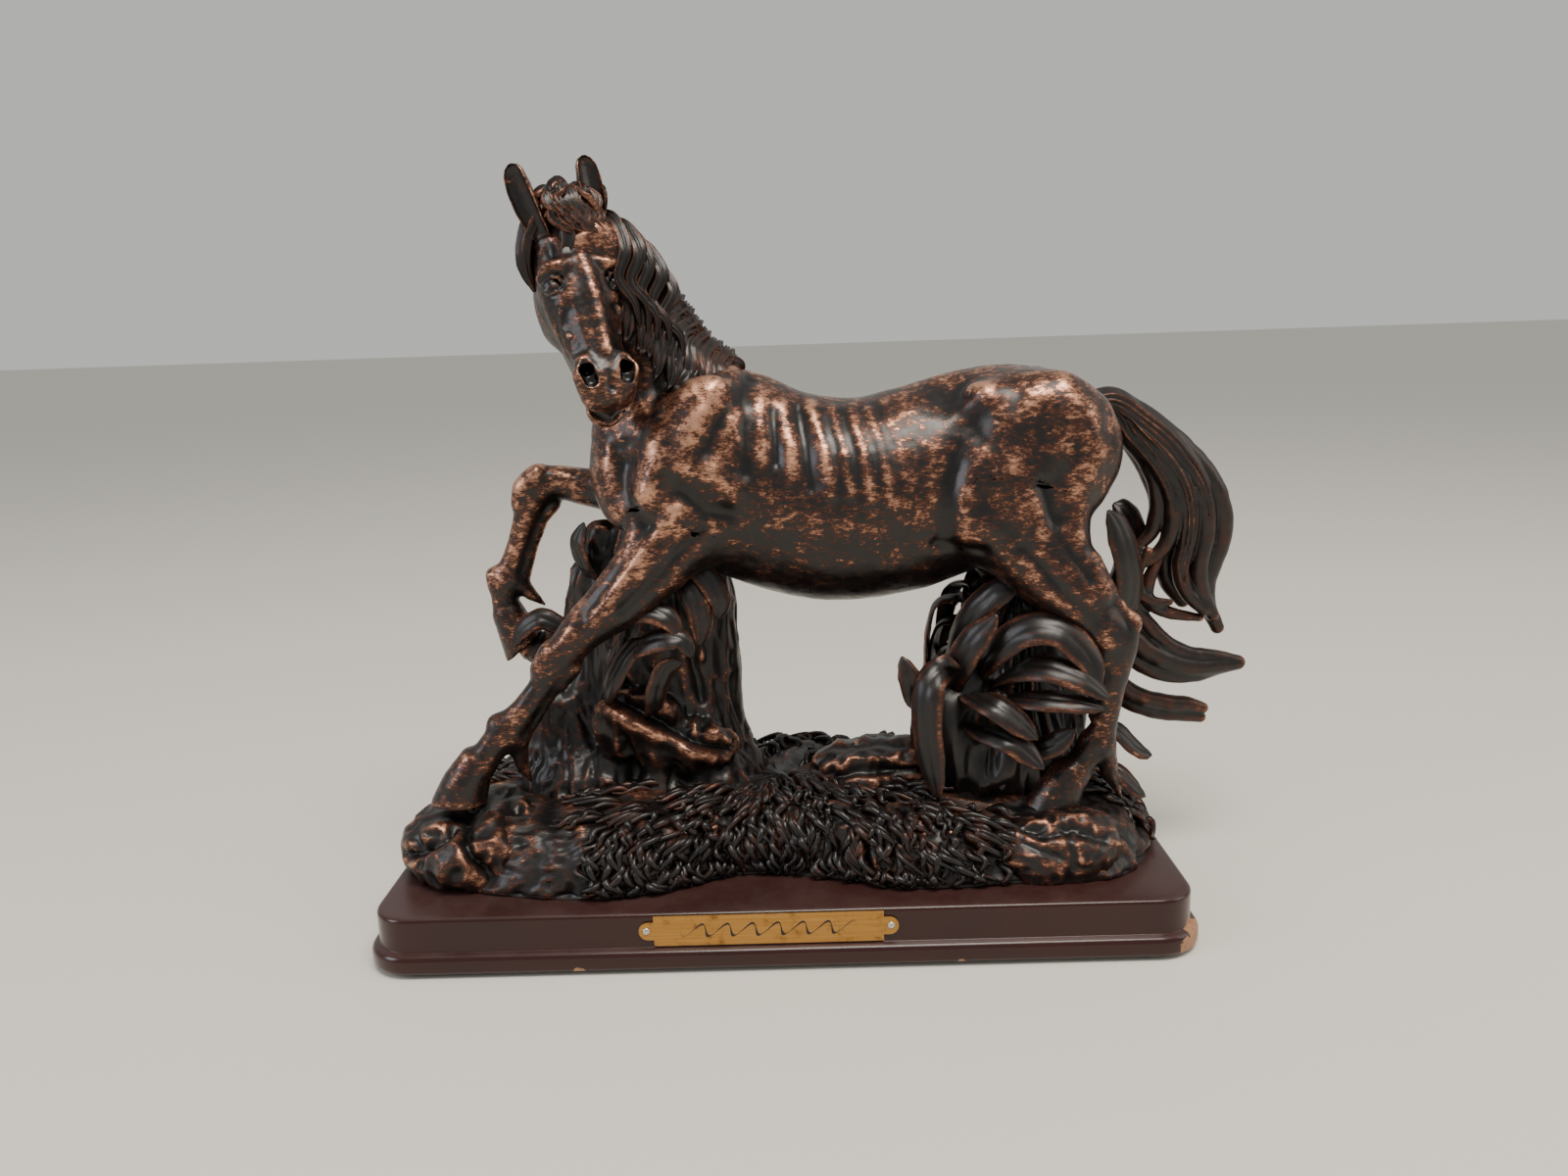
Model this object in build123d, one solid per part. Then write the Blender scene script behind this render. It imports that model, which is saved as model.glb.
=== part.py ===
"""A walking horse in cold-cast bronze on a moulded wooden plinth, modelled as the castings it is assembled from.

Frame: millimetres, +Z up, the horse faces -X and its left side is towards -Y. The origin is the middle of the
plinth's underside, on the surface that the statue stands on. Every point of the sculpture is given in sculpture
millimetres from the middle of the plinth's deck, with heights above the deck, and figure_scale turns those into
real ones.
"""

import os
from math import cos, pi, sin

from build123d import *

# ---- driving dimensions ----------------------------------------------------------------------------------------
figure_scale = 1.0  # size of all the castings together; 1.0 gives 155 mm from deck to withers
ground_length = 241.0  # the cast ground's footprint along X, at figure_scale 1
ground_depth = 92.0  # and along Y
deck_margin_x = 2.0  # bare deck beyond the ground at each end
deck_margin_y = 11.5  # bare deck in front of the ground and behind it
plinth_corner_radius = 12.0
board_thickness = 17.0
bead_height = 6.5  # the rounded moulding round the foot of the plinth
bead_proud = 2.5  # how far it stands out from the plinth's side
bead_cove = 1.6  # the small round where the bead meets the side
felt_thickness = 1.0
felt_inset = 3.0  # from the bead's edge

plate_length = 76.2
plate_offset = -4.0  # its middle from the plinth's, along X
plate_height = 9.5
plate_thickness = 0.6
plate_lug_length = 4.4  # the tongue at each end that takes a pin
plate_lug_height = 5.6
pin_shank_radius = 0.5
pin_head_radius = 1.15
pin_length = 6.0

screw_spacing = 130.0  # along X
screw_radius = 2.0
screw_length = 24.0
screw_head_radius = 3.8
screw_head_height = 2.4
washer_radius = 5.0
washer_thickness = 0.8
counterbore_depth = 5.0

dowel_radius = 1.5  # steel pegs in the joints between castings
glue_gap = 0.05  # radial room for adhesive round a dowel, pin or screw

# ---- sizes that follow -----------------------------------------------------------------------------------------
deck_z = felt_thickness + board_thickness
upper_length = ground_length * figure_scale + 2 * deck_margin_x
upper_depth = ground_depth * figure_scale + 2 * deck_margin_y
base_length = upper_length + 2 * bead_proud
base_depth = upper_depth + 2 * bead_proud
plate_face_y = -upper_depth / 2
plate_z = felt_thickness + bead_height + (board_thickness - bead_height) / 2


ellipse_points = 8  # points that carry each ellipse's spline

# ---- helpers ---------------------------------------------------------------------------------------------------
def place(x, y, z):
    """A point of the sculpture in the part's frame."""
    return Vector(x * figure_scale, y * figure_scale, deck_z + z * figure_scale)


def ellipse_face(centre, normal, across, half_depth, half_width):
    """An elliptical face; half_depth is measured along `across`, half_width square to it.

    It is a closed spline that always starts on `across`, so that a loft through several doesn't twist.
    """
    plane = Plane(origin=centre, x_dir=across, z_dir=normal)
    turns = [2 * pi * i / ellipse_points for i in range(ellipse_points)]
    rim = [
        plane.from_local_coords(Vector(half_depth * figure_scale * cos(a), half_width * figure_scale * sin(a)))
        for a in turns
    ]
    return Face(Wire([Edge.make_spline(rim, periodic=True)]))


def limb(stations, side=(0, 1, 0), last_normal=None):
    """A smooth solid through ellipses at (x, y, z, half_depth, half_width), each square to the path there.

    `side` is the direction of the half width, and last_normal sets the last face's own normal, as for a sole.
    """
    points = [place(*s[:3]) for s in stations]
    faces = []
    for i, station in enumerate(stations):
        before, after = points[max(i - 1, 0)], points[min(i + 1, len(points) - 1)]
        tangent = (after - before).normalized()
        if last_normal is not None and i == len(stations) - 1:
            tangent = Vector(*last_normal)
        across = Vector(*side).cross(tangent).normalized()
        faces.append(ellipse_face(points[i], tangent, across, station[3], station[4]))
    return loft(faces)


def stack(sections):
    """A solid through level ellipses at (x, y, z, half_x, half_y)."""
    faces = [ellipse_face(place(x, y, z), Vector(0, 0, 1), Vector(1, 0, 0), hx, hy) for x, y, z, hx, hy in sections]
    return loft(faces)


def blade(points, half_width, thickness, side):
    """A leaf: a flat tapered solid along three or more points, widest in its middle and narrow at both ends."""
    count = len(points)
    share = [0.45 + 0.55 * sin(pi * i / (count - 1)) if i < count - 1 else 0.25 for i in range(count)]
    stations = [(*p, thickness, half_width * s) for p, s in zip(points, share)]
    return limb(stations, side=side)


def lump(centre, radii):
    """A stone: an ellipsoid in sculpture millimetres."""
    ball = scale(Sphere(1), by=tuple(r * figure_scale for r in radii))
    return Pos(*place(*centre)) * ball


def peg(start, end, radius=dowel_radius):
    """A round peg between two points of the sculpture."""
    a, b = place(*start), place(*end)
    return Solid.make_cylinder(radius, (b - a).length, Plane(origin=a, z_dir=(b - a).normalized()))


def peg_hole(start, end):
    """The hole that the peg is glued into."""
    return peg(start, end, dowel_radius + glue_gap)


def biggest(shape):
    """The largest solid of a cut, without crumbs."""
    return max(shape.solids(), key=lambda s: s.volume)


def cut(shape, *tools):
    """shape less each tool, kept as its largest solid."""
    for tool in tools:
        shape = biggest(shape - tool)
    return shape


# ---- the plinth and what is fixed to it ------------------------------------------------------------------------
def screw_axes():
    return [(-screw_spacing / 2, 0), (screw_spacing / 2, 0)]


def pin_axes():
    reach = plate_length / 2 - plate_lug_length / 2
    return [plate_offset - reach, plate_offset + reach]


def make_plinth():
    upper = Pos(0, 0, felt_thickness) * extrude(
        RectangleRounded(upper_length, upper_depth, plinth_corner_radius), board_thickness
    )
    bead = Pos(0, 0, felt_thickness) * extrude(
        RectangleRounded(base_length, base_depth, plinth_corner_radius + bead_proud), bead_height
    )
    bead = fillet(bead.edges().group_by(Axis.Z)[-1], min(bead_proud, bead_height / 2) * 0.95)
    bead = fillet(bead.edges().group_by(Axis.Z)[0], bead_cove)
    board = upper + bead
    for x, y in screw_axes():
        board -= Pos(x, y, felt_thickness) * Cylinder(
            washer_radius + glue_gap, counterbore_depth, align=(Align.CENTER, Align.CENTER, Align.MIN)
        )
        board -= Pos(x, y, 0) * Cylinder(
            screw_radius + glue_gap, deck_z + 1, align=(Align.CENTER, Align.CENTER, Align.MIN)
        )
    for x in pin_axes():
        board -= Pos(x, plate_face_y, plate_z) * Rot(-90, 0, 0) * Cylinder(
            pin_shank_radius + glue_gap, pin_length + 0.2, align=(Align.CENTER, Align.CENTER, Align.MIN)
        )
    return biggest(board)


def make_felt():
    sheet = RectangleRounded(base_length - 2 * felt_inset, base_depth - 2 * felt_inset, plinth_corner_radius)
    return extrude(sheet, felt_thickness)


def make_nameplate():
    body_length = plate_length - 2 * plate_lug_length
    outline = Pos(plate_offset, 0) * Rectangle(body_length, plate_height)
    for x in (plate_offset - body_length / 2, plate_offset + body_length / 2):
        outline += Pos(x, 0) * RectangleRounded(2 * plate_lug_length, plate_lug_height, plate_lug_height / 2 - 0.1)
    for x in pin_axes():
        outline -= Pos(x, 0) * Circle(pin_shank_radius + glue_gap)
    plate = extrude(outline, plate_thickness)
    return Pos(0, plate_face_y, plate_z) * Rot(90, 0, 0) * plate


def make_nameplate_pins():
    pins = []
    for x in pin_axes():
        head_y = plate_face_y - plate_thickness
        dome = Sphere(pin_head_radius) & Pos(0, 0, pin_head_radius) * Box(3, 3, 2 * pin_head_radius)
        dome = scale(dome, by=(1, 1, 0.6))
        shank = Cylinder(
            pin_shank_radius, pin_length + plate_thickness, align=(Align.CENTER, Align.CENTER, Align.MAX)
        )
        pins.append(biggest(Pos(x, head_y, plate_z) * Rot(90, 0, 0) * (dome + shank)))
    return Compound(pins)


def make_screws():
    """Countersunk-in-counterbore screws that draw the ground casting down onto the plinth."""
    seat_z = felt_thickness + counterbore_depth - washer_thickness
    screws = []
    for x, y in screw_axes():
        head = Pos(x, y, seat_z - screw_head_height) * Cylinder(
            screw_head_radius, screw_head_height, align=(Align.CENTER, Align.CENTER, Align.MIN)
        )
        head = chamfer(head.edges().group_by(Axis.Z)[0], screw_head_height * 0.3)
        slot = Pos(x, y, seat_z - screw_head_height) * Box(2 * screw_head_radius, 1.0, 2.0)
        shank = Pos(x, y, seat_z) * Cylinder(
            screw_radius, screw_length, align=(Align.CENTER, Align.CENTER, Align.MIN)
        )
        shank = chamfer(shank.edges().group_by(Axis.Z)[-1], screw_radius * 0.7)
        screws.append(biggest(head - slot + shank))
    return Compound(screws)


def make_washers():
    seat_z = felt_thickness + counterbore_depth - washer_thickness
    ring = Circle(washer_radius) - Circle(screw_radius + glue_gap)
    return Compound([biggest(Pos(x, y, seat_z) * extrude(ring, washer_thickness)) for x, y in screw_axes()])


def screw_holes():
    """Pilot holes up into the ground casting, as deep as the screws reach."""
    top = felt_thickness + counterbore_depth - washer_thickness + screw_length
    depth = top - deck_z + 0.2
    hole = Cylinder(screw_radius + glue_gap, depth, align=(Align.CENTER, Align.CENTER, Align.MIN))
    return [Pos(x, y, deck_z) * hole for x, y in screw_axes()]


# ---- the cast ground -------------------------------------------------------------------------------------------
ground_outline = [
    (-1.00, -0.10), (-0.93, -0.70), (-0.62, -1.00), (-0.36, -1.00), (-0.12, -0.74),
    (0.10, -0.80), (0.32, -1.00), (0.60, -0.97), (0.86, -0.90), (0.99, -0.30),
    (0.95, 0.45), (0.72, 0.92), (0.20, 0.98), (-0.35, 0.96), (-0.80, 0.84), (-0.98, 0.40),
]  # shares of half the footprint, anticlockwise from the left end
ground_levels = [(0, 1.0), (8, 0.985), (14, 0.93), (18, 0.80)]  # height, share of the outline


def make_ground():
    faces = []
    for height, share in ground_levels:
        points = [
            place(x * share * ground_length / 2, y * share * ground_depth / 2, height) for x, y in ground_outline
        ]
        faces.append(Face(Wire([Edge.make_spline(points, periodic=True)])))
    return loft(faces)


hoof_rock_centre, hoof_rock_radii = (-91, -17, 7), (28, 24, 17.5)
front_stone_centre, front_stone_radii = (86, -34, 9), (17, 11, 13)
flat_stone_centre, flat_stone_radii = (31, -3, 18), (21, 14, 14)

stump_sections = [
    (-40, 12, 4, 37, 25), (-40, 12, 22, 32, 22), (-39, 12, 40, 28, 19),
    (-40, 12, 60, 27, 16), (-41, 12, 78, 26, 15), (-37, 10, 92, 22, 13), (-35, 8, 106, 17, 11),
]
stump_arm = [(-50, 16, 46, 12, 10), (-66, 17, 54, 10, 9), (-78, 18, 60, 8, 7.5), (-85, 18, 62, 5, 5)]
clump_sections = [
    (76, 3, 4, 31, 28), (78, 3, 22, 28, 25), (82, 3, 42, 24, 21),
    (85, 3, 60, 22, 17), (89, 4, 74, 17, 13), (91, 4, 83, 11, 9),
]

front_leaf_paths = [
    ([(-52, -2, 70), (-44, -18, 80), (-34, -22, 82), (-27, -24, 76)], 5.0, (0.2, 0.6, -0.8)),
    ([(-44, -2, 60), (-38, -18, 70), (-30, -22, 74), (-25, -24, 68)], 4.5, (0.2, 0.6, -0.8)),
    ([(-46, -4, 44), (-40, -16, 50), (-35, -19, 58), (-31, -20, 66)], 4.0, (0.9, 0.3, -0.3)),
    ([(-30, 0, 100), (-24, -10, 94), (-18, -13, 86), (-17, -14, 78)], 5.0, (0.7, 0.5, 0.3)),
]
rear_leaf_paths = [
    ([(58, -6, 54), (52, -22, 60), (47, -29, 52), (47, -30, 38), (49, -30, 23)], 5.5, (0.9, -0.3, 0.1)),
    ([(56, -2, 42), (50, -9, 49), (45, -15, 55), (40, -20, 60)], 4.0, (0.6, -0.2, 0.7)),
    ([(60, -8, 48), (63, -22, 52), (69, -31, 51), (76, -37, 45)], 5.0, (0.67, 0.25, 0.67)),
    ([(70, -8, 50), (76, -22, 62), (86, -31, 61), (95, -35, 55)], 5.0, (0.1, 0.7, 0.7)),
    ([(66, -6, 60), (73, -20, 73), (84, -27, 74), (92, -32, 66)], 5.5, (0.2, 0.7, 0.7)),
    ([(104, 6, 56), (112, 2, 74), (113, -3, 92), (107, -5, 106)], 6.0, (0.3, 0.9, 0.2)),
    ([(98, 12, 60), (108, 14, 80), (114, 12, 96), (110, 10, 108)], 6.0, (0.3, 0.9, 0.2)),
    ([(60, 12, 44), (52, 24, 52), (46, 32, 42), (47, 34, 26)], 5.5, (0.9, 0.3, 0.1)),
    ([(84, 14, 50), (84, 28, 58), (92, 36, 52), (99, 38, 42)], 5.5, (0.4, -0.6, 0.7)),
]


# ---- the horse -------------------------------------------------------------------------------------------------
trunk_stations = [
    (-57, 0, 124, 8, 10), (-50, 0, 125, 18, 17), (-40, 0, 127, 25, 21), (-28, 0, 125.5, 29.5, 23.5),
    (-14, 0, 123, 32, 25), (0, 0, 116.8, 32.3, 27), (18, 0, 112.4, 33, 29), (35, 0, 113, 32.5, 29),
    (51, 0, 117.3, 32.3, 27), (66, 0, 122.6, 31.7, 26), (79, 0, 126, 29, 26.5), (91, 0, 127, 25, 25),
    (101, 0, 127.5, 19.5, 20), (108, 0, 129, 9, 11),
]
neck_stations = [
    (-30, 0, 128, 25, 19), (-36, 0, 146, 22.5, 16), (-41, -1, 162, 19.5, 14),
    (-46.5, -4, 178, 16.5, 12), (-52, -9, 191, 13.5, 10.5), (-55.5, -13, 199, 10, 9),
]
poll = (-54, -15, 199)
head_along = (0.235, -0.410, -0.880)  # from the poll to the lips
head_left = (0.868, 0.497, 0.0)  # to the horse's left
head_face = (0.437, -0.764, 0.473)  # out of the nasal bone
head_sections = [  # distance from the poll, face line, jaw line, half width
    (0, -4, -22, 9.5), (8, -1, -26, 11.5), (16, 0, -29, 12.5), (25, -0.5, -29, 11.5), (34, -1.5, -23, 9.0),
    (43, -2.5, -18, 8.0), (50, -1.5, -16.5, 9.0), (56, -3.5, -15.5, 8.0), (60, -7, -13, 4.5),
]
ears = [  # base, tip
    ((-64.5, -17, 198), (-72.0, -17, 215)),
    ((-48.5, -10, 200), (-50.0, -12, 216.5)),
]
forelock_centre, forelock_radii = (-57, -16, 202), (8, 7, 9)
mane_stations = [
    (-57, -6, 203, 6, 8), (-47, -1, 199, 7, 10), (-37, 1, 190, 7.5, 11),
    (-30, 2, 178, 7.5, 11), (-23, 2, 165, 7, 10), (-15, 1, 155, 4, 6),
]

planted_foreleg = [
    (-23, -11, 112, 14, 9), (-35.5, -17.5, 98, 12, 8.6), (-49, -20.5, 85.5, 8.5, 7.2), (-61.5, -22, 75.5, 7, 6.3),
    (-68.5, -22.5, 65.5, 4.9, 4.7), (-76.5, -23, 56, 4.9, 4.6), (-84, -23.5, 48, 6.3, 5.6),
    (-91.5, -24, 39.5, 5.2, 5), (-96.5, -24.5, 32, 7, 6.6), (-100, -25, 22, 8.4, 7.8),
]
raised_foreleg = [
    (-36, 13, 117, 10, 7.5), (-50, 17, 116.5, 8.5, 7.2), (-62, 18, 116.5, 6.6, 6.2), (-72, 18, 118.5, 6.4, 6),
    (-79, 18, 115.5, 6.8, 6.2), (-83.5, 18, 106.5, 5.2, 5), (-87.5, 18, 96.5, 4.7, 4.5),
    (-90.8, 18, 87, 6.2, 5.6), (-92.8, 18, 79, 5, 4.8), (-92, 18, 73, 6.4, 6), (-87.5, 18, 65, 7.8, 7.2),
]
left_hind_leg = [
    (72, -12, 118, 15, 10), (77, -16.5, 108, 18, 12), (83.5, -20.5, 97, 15.5, 11), (91.5, -23, 85.5, 11, 9.2),
    (99, -24, 77, 8.3, 7.4), (104.5, -24, 69, 6.6, 6.2), (103.8, -24, 58.5, 4, 4.3), (102.3, -24, 48.5, 3.7, 3.9),
    (99.8, -24, 39, 5.2, 5), (95.5, -24.5, 32, 4.7, 4.6), (91, -25, 26.5, 6.4, 6.2), (86, -25.5, 17, 8.4, 8),
]
right_hind_leg = [
    (71, 5, 127, 12, 8), (74, 14, 108, 18, 12.5), (77, 19, 94, 14, 10.5), (82, 21, 81, 9.5, 8.2),
    (88.5, 22, 70, 6.8, 6.2), (87.5, 22, 60, 4.2, 4.3), (84.5, 22, 49, 3.8, 3.9),
    (81, 22, 39, 5.2, 5), (76, 22, 32, 4.7, 4.6), (71.5, 22, 26.5, 6.4, 6.2), (67, 22, 17, 8.4, 8),
]
tail_stations = [
    (100, 2, 143, 5, 5), (110, 3, 142, 5.4, 5.6), (120, 4, 136.5, 6.8, 7), (130, 5, 127, 8.6, 8),
    (137, 7, 115, 9.8, 9), (138.5, 8, 101, 10.6, 9.4), (138, 8, 87, 10, 9), (142, 8, 74, 7.5, 7), (149, 8, 61, 2, 2),
]
tail_sweep_stations = [
    (126, 9, 93, 7, 7), (116, 9, 79, 8.5, 8), (117, 9, 64, 8.5, 8), (130, 9, 55, 8.5, 8),
    (144, 8, 51, 6.5, 6), (157, 7, 51, 2, 2),
]
tail_end_stations = [(112, 12, 62, 6, 6), (120, 12, 50, 8, 7), (133, 11, 39, 6.5, 6), (147, 9, 28, 2, 2)]

spurs = {  # fetlock tufts: root, tip
    "planted": ((-83, -22, 44), (-79.5, -18, 27)),
    "raised": ((-88, 18, 86), (-78.5, 18, 76.5)),
    "left_hind": ((101, -23, 36), (109, -20, 16)),
    "right_hind": ((82, 22, 35), (88, 24, 17)),
}
dowels = {
    "neck_dowel": ((-38, 0, 134), (-41, -1, 156)),
    "head_dowel": ((-50.5, -8, 188), (-52.5, -13, 193)),
    "tail_dowel": ((100, 2, 143), (114, 3.3, 140)),
    "raised_leg_dowel": ((-38, 15.2, 116.7), (-58, 17.6, 116.3)),
}


def head_point(along, out, left=0.0):
    """A point of the head: along the face from the poll, out of the face, and to the horse's left."""
    return tuple(
        poll[i] + along * head_along[i] + out * head_face[i] + left * head_left[i] for i in range(3)
    )


def make_head():
    faces = []
    for along, face_line, jaw_line, half_width in head_sections:
        centre = place(*head_point(along, (face_line + jaw_line) / 2))
        half_depth = (face_line - jaw_line) / 2
        faces.append(ellipse_face(centre, Vector(*head_along), Vector(*head_face), half_depth, half_width))
    return loft(faces)


def make_ear(base, tip):
    a, b = place(*base), place(*tip)
    axis = (b - a).normalized()
    shares = [(0.0, 3.6, 3.0), (0.45, 4.0, 2.6), (0.8, 2.4, 1.6), (1.0, 0.6, 0.5)]
    faces = [ellipse_face(a + (b - a) * s, axis, Vector(1, 0.3, 0), width, depth) for s, width, depth in shares]
    return loft(faces)


def spur(name):
    """The tuft of hair behind a fetlock, as a short cone."""
    a, b = place(*spurs[name][0]), place(*spurs[name][1])
    cone = Solid.make_cone(
        3.4 * figure_scale, 1.0 * figure_scale, (b - a).length, Plane(origin=a, z_dir=(b - a).normalized())
    )
    return cone


def leg(stations, tuft, sole=(0, 0, -1)):
    return biggest(limb(stations, last_normal=sole) + spur(tuft))


def leaves(paths, *tools):
    """Leaves joined where they cross, cut back to what they grow from."""
    grown = [blade(points, half_width, 1.3, side) for points, half_width, side in paths]
    solids = []
    for leaf in grown:
        for tool in list(tools) + solids:
            leaf = biggest(leaf - tool)
        solids.append(leaf)
    return Compound(solids)


# ---- assembly --------------------------------------------------------------------------------------------------
def build():
    nodes = {
        "felt_underlay": make_felt(),
        "plinth": make_plinth(),
        "nameplate": make_nameplate(),
        "nameplate_pins": make_nameplate_pins(),
        "fixing_screws": make_screws(),
        "screw_washers": make_washers(),
    }
    below_deck = Pos(0, 0, deck_z) * Box(
        base_length, base_depth, 4 * deck_z, align=(Align.CENTER, Align.CENTER, Align.MAX)
    )

    ground = make_ground()
    rock = cut(lump(hoof_rock_centre, hoof_rock_radii), below_deck, ground)
    stone = cut(lump(front_stone_centre, front_stone_radii), below_deck, ground)
    slab = cut(lump(flat_stone_centre, flat_stone_radii), ground)

    trunk = limb(trunk_stations)
    head = make_head()
    neck = cut(limb(neck_stations), trunk, head)
    ear_pair = [cut(make_ear(*e), head, neck) for e in ears]
    forelock = cut(lump(forelock_centre, forelock_radii), head, neck, *ear_pair)
    mane = cut(limb(mane_stations), neck, trunk, head, forelock, *ear_pair)

    near_fore = cut(leg(planted_foreleg, "planted"), trunk, rock, ground)
    off_fore = cut(leg(raised_foreleg, "raised", sole=(0.55, 0, -0.83)), trunk)
    near_hind = cut(leg(left_hind_leg, "left_hind"), trunk, stone, ground)
    off_hind = cut(leg(right_hind_leg, "right_hind"), trunk, near_hind, ground)

    tail = cut(limb(tail_stations), trunk)
    tail_sweep = cut(limb(tail_sweep_stations), tail, near_hind, off_hind)
    tail_end = cut(limb(tail_end_stations), tail_sweep, tail, near_hind, off_hind)

    stump = biggest(stack(stump_sections) + limb(stump_arm))
    stump = cut(stump, ground, trunk, near_fore, off_fore, rock)
    clump = cut(stack(clump_sections), ground, trunk, near_hind, off_hind, slab, stone, tail_sweep, tail_end)
    hair_and_legs = [near_hind, off_hind, trunk, tail, tail_sweep, tail_end]

    pegs = {name: peg(*ends) for name, ends in dowels.items()}
    holes = {name: peg_hole(*ends) for name, ends in dowels.items()}
    trunk = cut(trunk, holes["neck_dowel"], holes["tail_dowel"], holes["raised_leg_dowel"])
    neck = cut(neck, holes["neck_dowel"], holes["head_dowel"])
    head = cut(head, holes["head_dowel"])
    tail = cut(tail, holes["tail_dowel"])
    off_fore = cut(off_fore, holes["raised_leg_dowel"])
    ground = cut(ground, *screw_holes())
    stump = cut(stump, *screw_holes())
    slab = cut(slab, *screw_holes())
    clump = cut(clump, *screw_holes())
    rock = cut(rock, *screw_holes())

    nodes.update(pegs)
    nodes.update({
        "ground": ground,
        "hoof_rock": rock,
        "front_stone": stone,
        "flat_stone": slab,
        "front_stump": stump,
        "front_leaves": leaves(front_leaf_paths, stump, near_fore, trunk, ground),
        "rear_clump": clump,
        "rear_leaves": leaves(rear_leaf_paths, clump, slab, stone, ground, *hair_and_legs),
        "body": trunk,
        "neck": neck,
        "head": head,
        "ears": Compound(ear_pair),
        "forelock": forelock,
        "mane": mane,
        "planted_foreleg": near_fore,
        "raised_foreleg": off_fore,
        "left_hind_leg": near_hind,
        "right_hind_leg": off_hind,
        "tail": tail,
        "tail_sweep": tail_sweep,
        "tail_end": tail_end,
    })
    return nodes


os.makedirs("parts", exist_ok=True)
for node, shape in build().items():
    export_step(shape, f"parts/{node}.step")
    print(f"{node:18s} {len(shape.solids()):2d} solids {sum(s.volume for s in shape.solids()):10.1f} mm3")
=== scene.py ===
# %% [markdown]
# # A walking horse in cold-cast bronze, on a lacquered wooden plinth
#
# The real object is a shelf ornament. A modeller carved one horse with its ground, a rubber mould was
# taken, and resin loaded with metal powder was poured into it. The cast was painted nearly black, and a
# copper paste was rubbed over it so that only the raised places caught it. It stands on a moulded,
# lacquered board with a small brass plate in front. This script rebuilds what the eye sees of that: the
# carved forms first, then the rubbed finish that depends on them, then the board, and last the light and
# the camera.

# %% Setup
import math

import bmesh
import bpy
import mathutils
import numpy as np
import openvdb
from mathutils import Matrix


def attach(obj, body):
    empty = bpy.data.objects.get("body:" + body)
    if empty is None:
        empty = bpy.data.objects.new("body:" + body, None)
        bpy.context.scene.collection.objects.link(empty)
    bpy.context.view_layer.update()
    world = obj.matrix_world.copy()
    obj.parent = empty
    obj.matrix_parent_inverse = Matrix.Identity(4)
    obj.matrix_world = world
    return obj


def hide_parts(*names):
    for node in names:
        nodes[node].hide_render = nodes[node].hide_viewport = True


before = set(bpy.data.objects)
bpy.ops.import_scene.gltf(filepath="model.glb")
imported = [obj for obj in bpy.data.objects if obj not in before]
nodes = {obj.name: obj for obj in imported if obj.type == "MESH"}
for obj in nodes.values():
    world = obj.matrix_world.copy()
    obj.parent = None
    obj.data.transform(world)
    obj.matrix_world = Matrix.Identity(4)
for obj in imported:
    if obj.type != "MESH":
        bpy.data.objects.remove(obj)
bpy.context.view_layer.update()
MM = 0.001
DECK = 18.0  # the plinth's top above the table, mm
HALF_BOARD = (125, 60)  # half the board's length and depth, mm
HALF_MOUND = (120.5, 46.0)  # the same for the mound
PLATE_HEIGHT = 12.75  # the middle of the brass plate above the table, mm
FAR = 50.0  # distance, in mm, that stands for empty space on the clay lattice
BAND = 3.0  # distances are kept exact this near to a surface, mm
print("frame loaded:", len(nodes), "nodes")

# %% [markdown]
# ## Clay: a carved form as a field of distances
#
# A horse has no seams where leg meets barrel, so it isn't built from touching surfaces. It could be lofted
# leg by leg and joined with booleans, but those leave a hard crease at every joint. Here each form is a
# field: at every point of a lattice, the distance to the surface, negative inside. Two forms run together
# by taking the smaller distance with its corner rounded over k millimetres, just as a thumb presses clay
# into a joint, and a hollow is pressed in by taking the larger one. The surface is then drawn where the
# distance is zero.

# %% Splines and the clay lattice
def spline(rows, per_span):
    """Rows resampled on a Catmull-Rom curve, so that every column passes smoothly through its given values.

    Between rows 1 and 2: (2a + (c-z)t + (2z-5a+4c-d)t^2 + (3a-z-3c+d)t^3) / 2, with z and d the outer rows.
    """
    rows = np.asarray(rows, float)
    ends = np.concatenate([2 * rows[:1] - rows[1:2], rows, 2 * rows[-1:] - rows[-2:-1]])
    z, a, c, d = (ends[i : len(ends) - 3 + i][:, None] for i in range(4))
    t = (np.arange(per_span) / per_span).reshape((1, -1) + (1,) * (rows.ndim - 1))
    out = 0.5 * (2 * a + (c - z) * t + (2 * z - 5 * a + 4 * c - d) * t**2 + (3 * a - z - 3 * c + d) * t**3)
    return np.concatenate([out.reshape((-1,) + rows.shape[1:]), rows[-1:]])


def unit(v):
    """v scaled to length one along its last axis."""
    v = np.asarray(v, float)
    return v / np.maximum(np.linalg.norm(v, axis=-1, keepdims=True), 1e-9)


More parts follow.
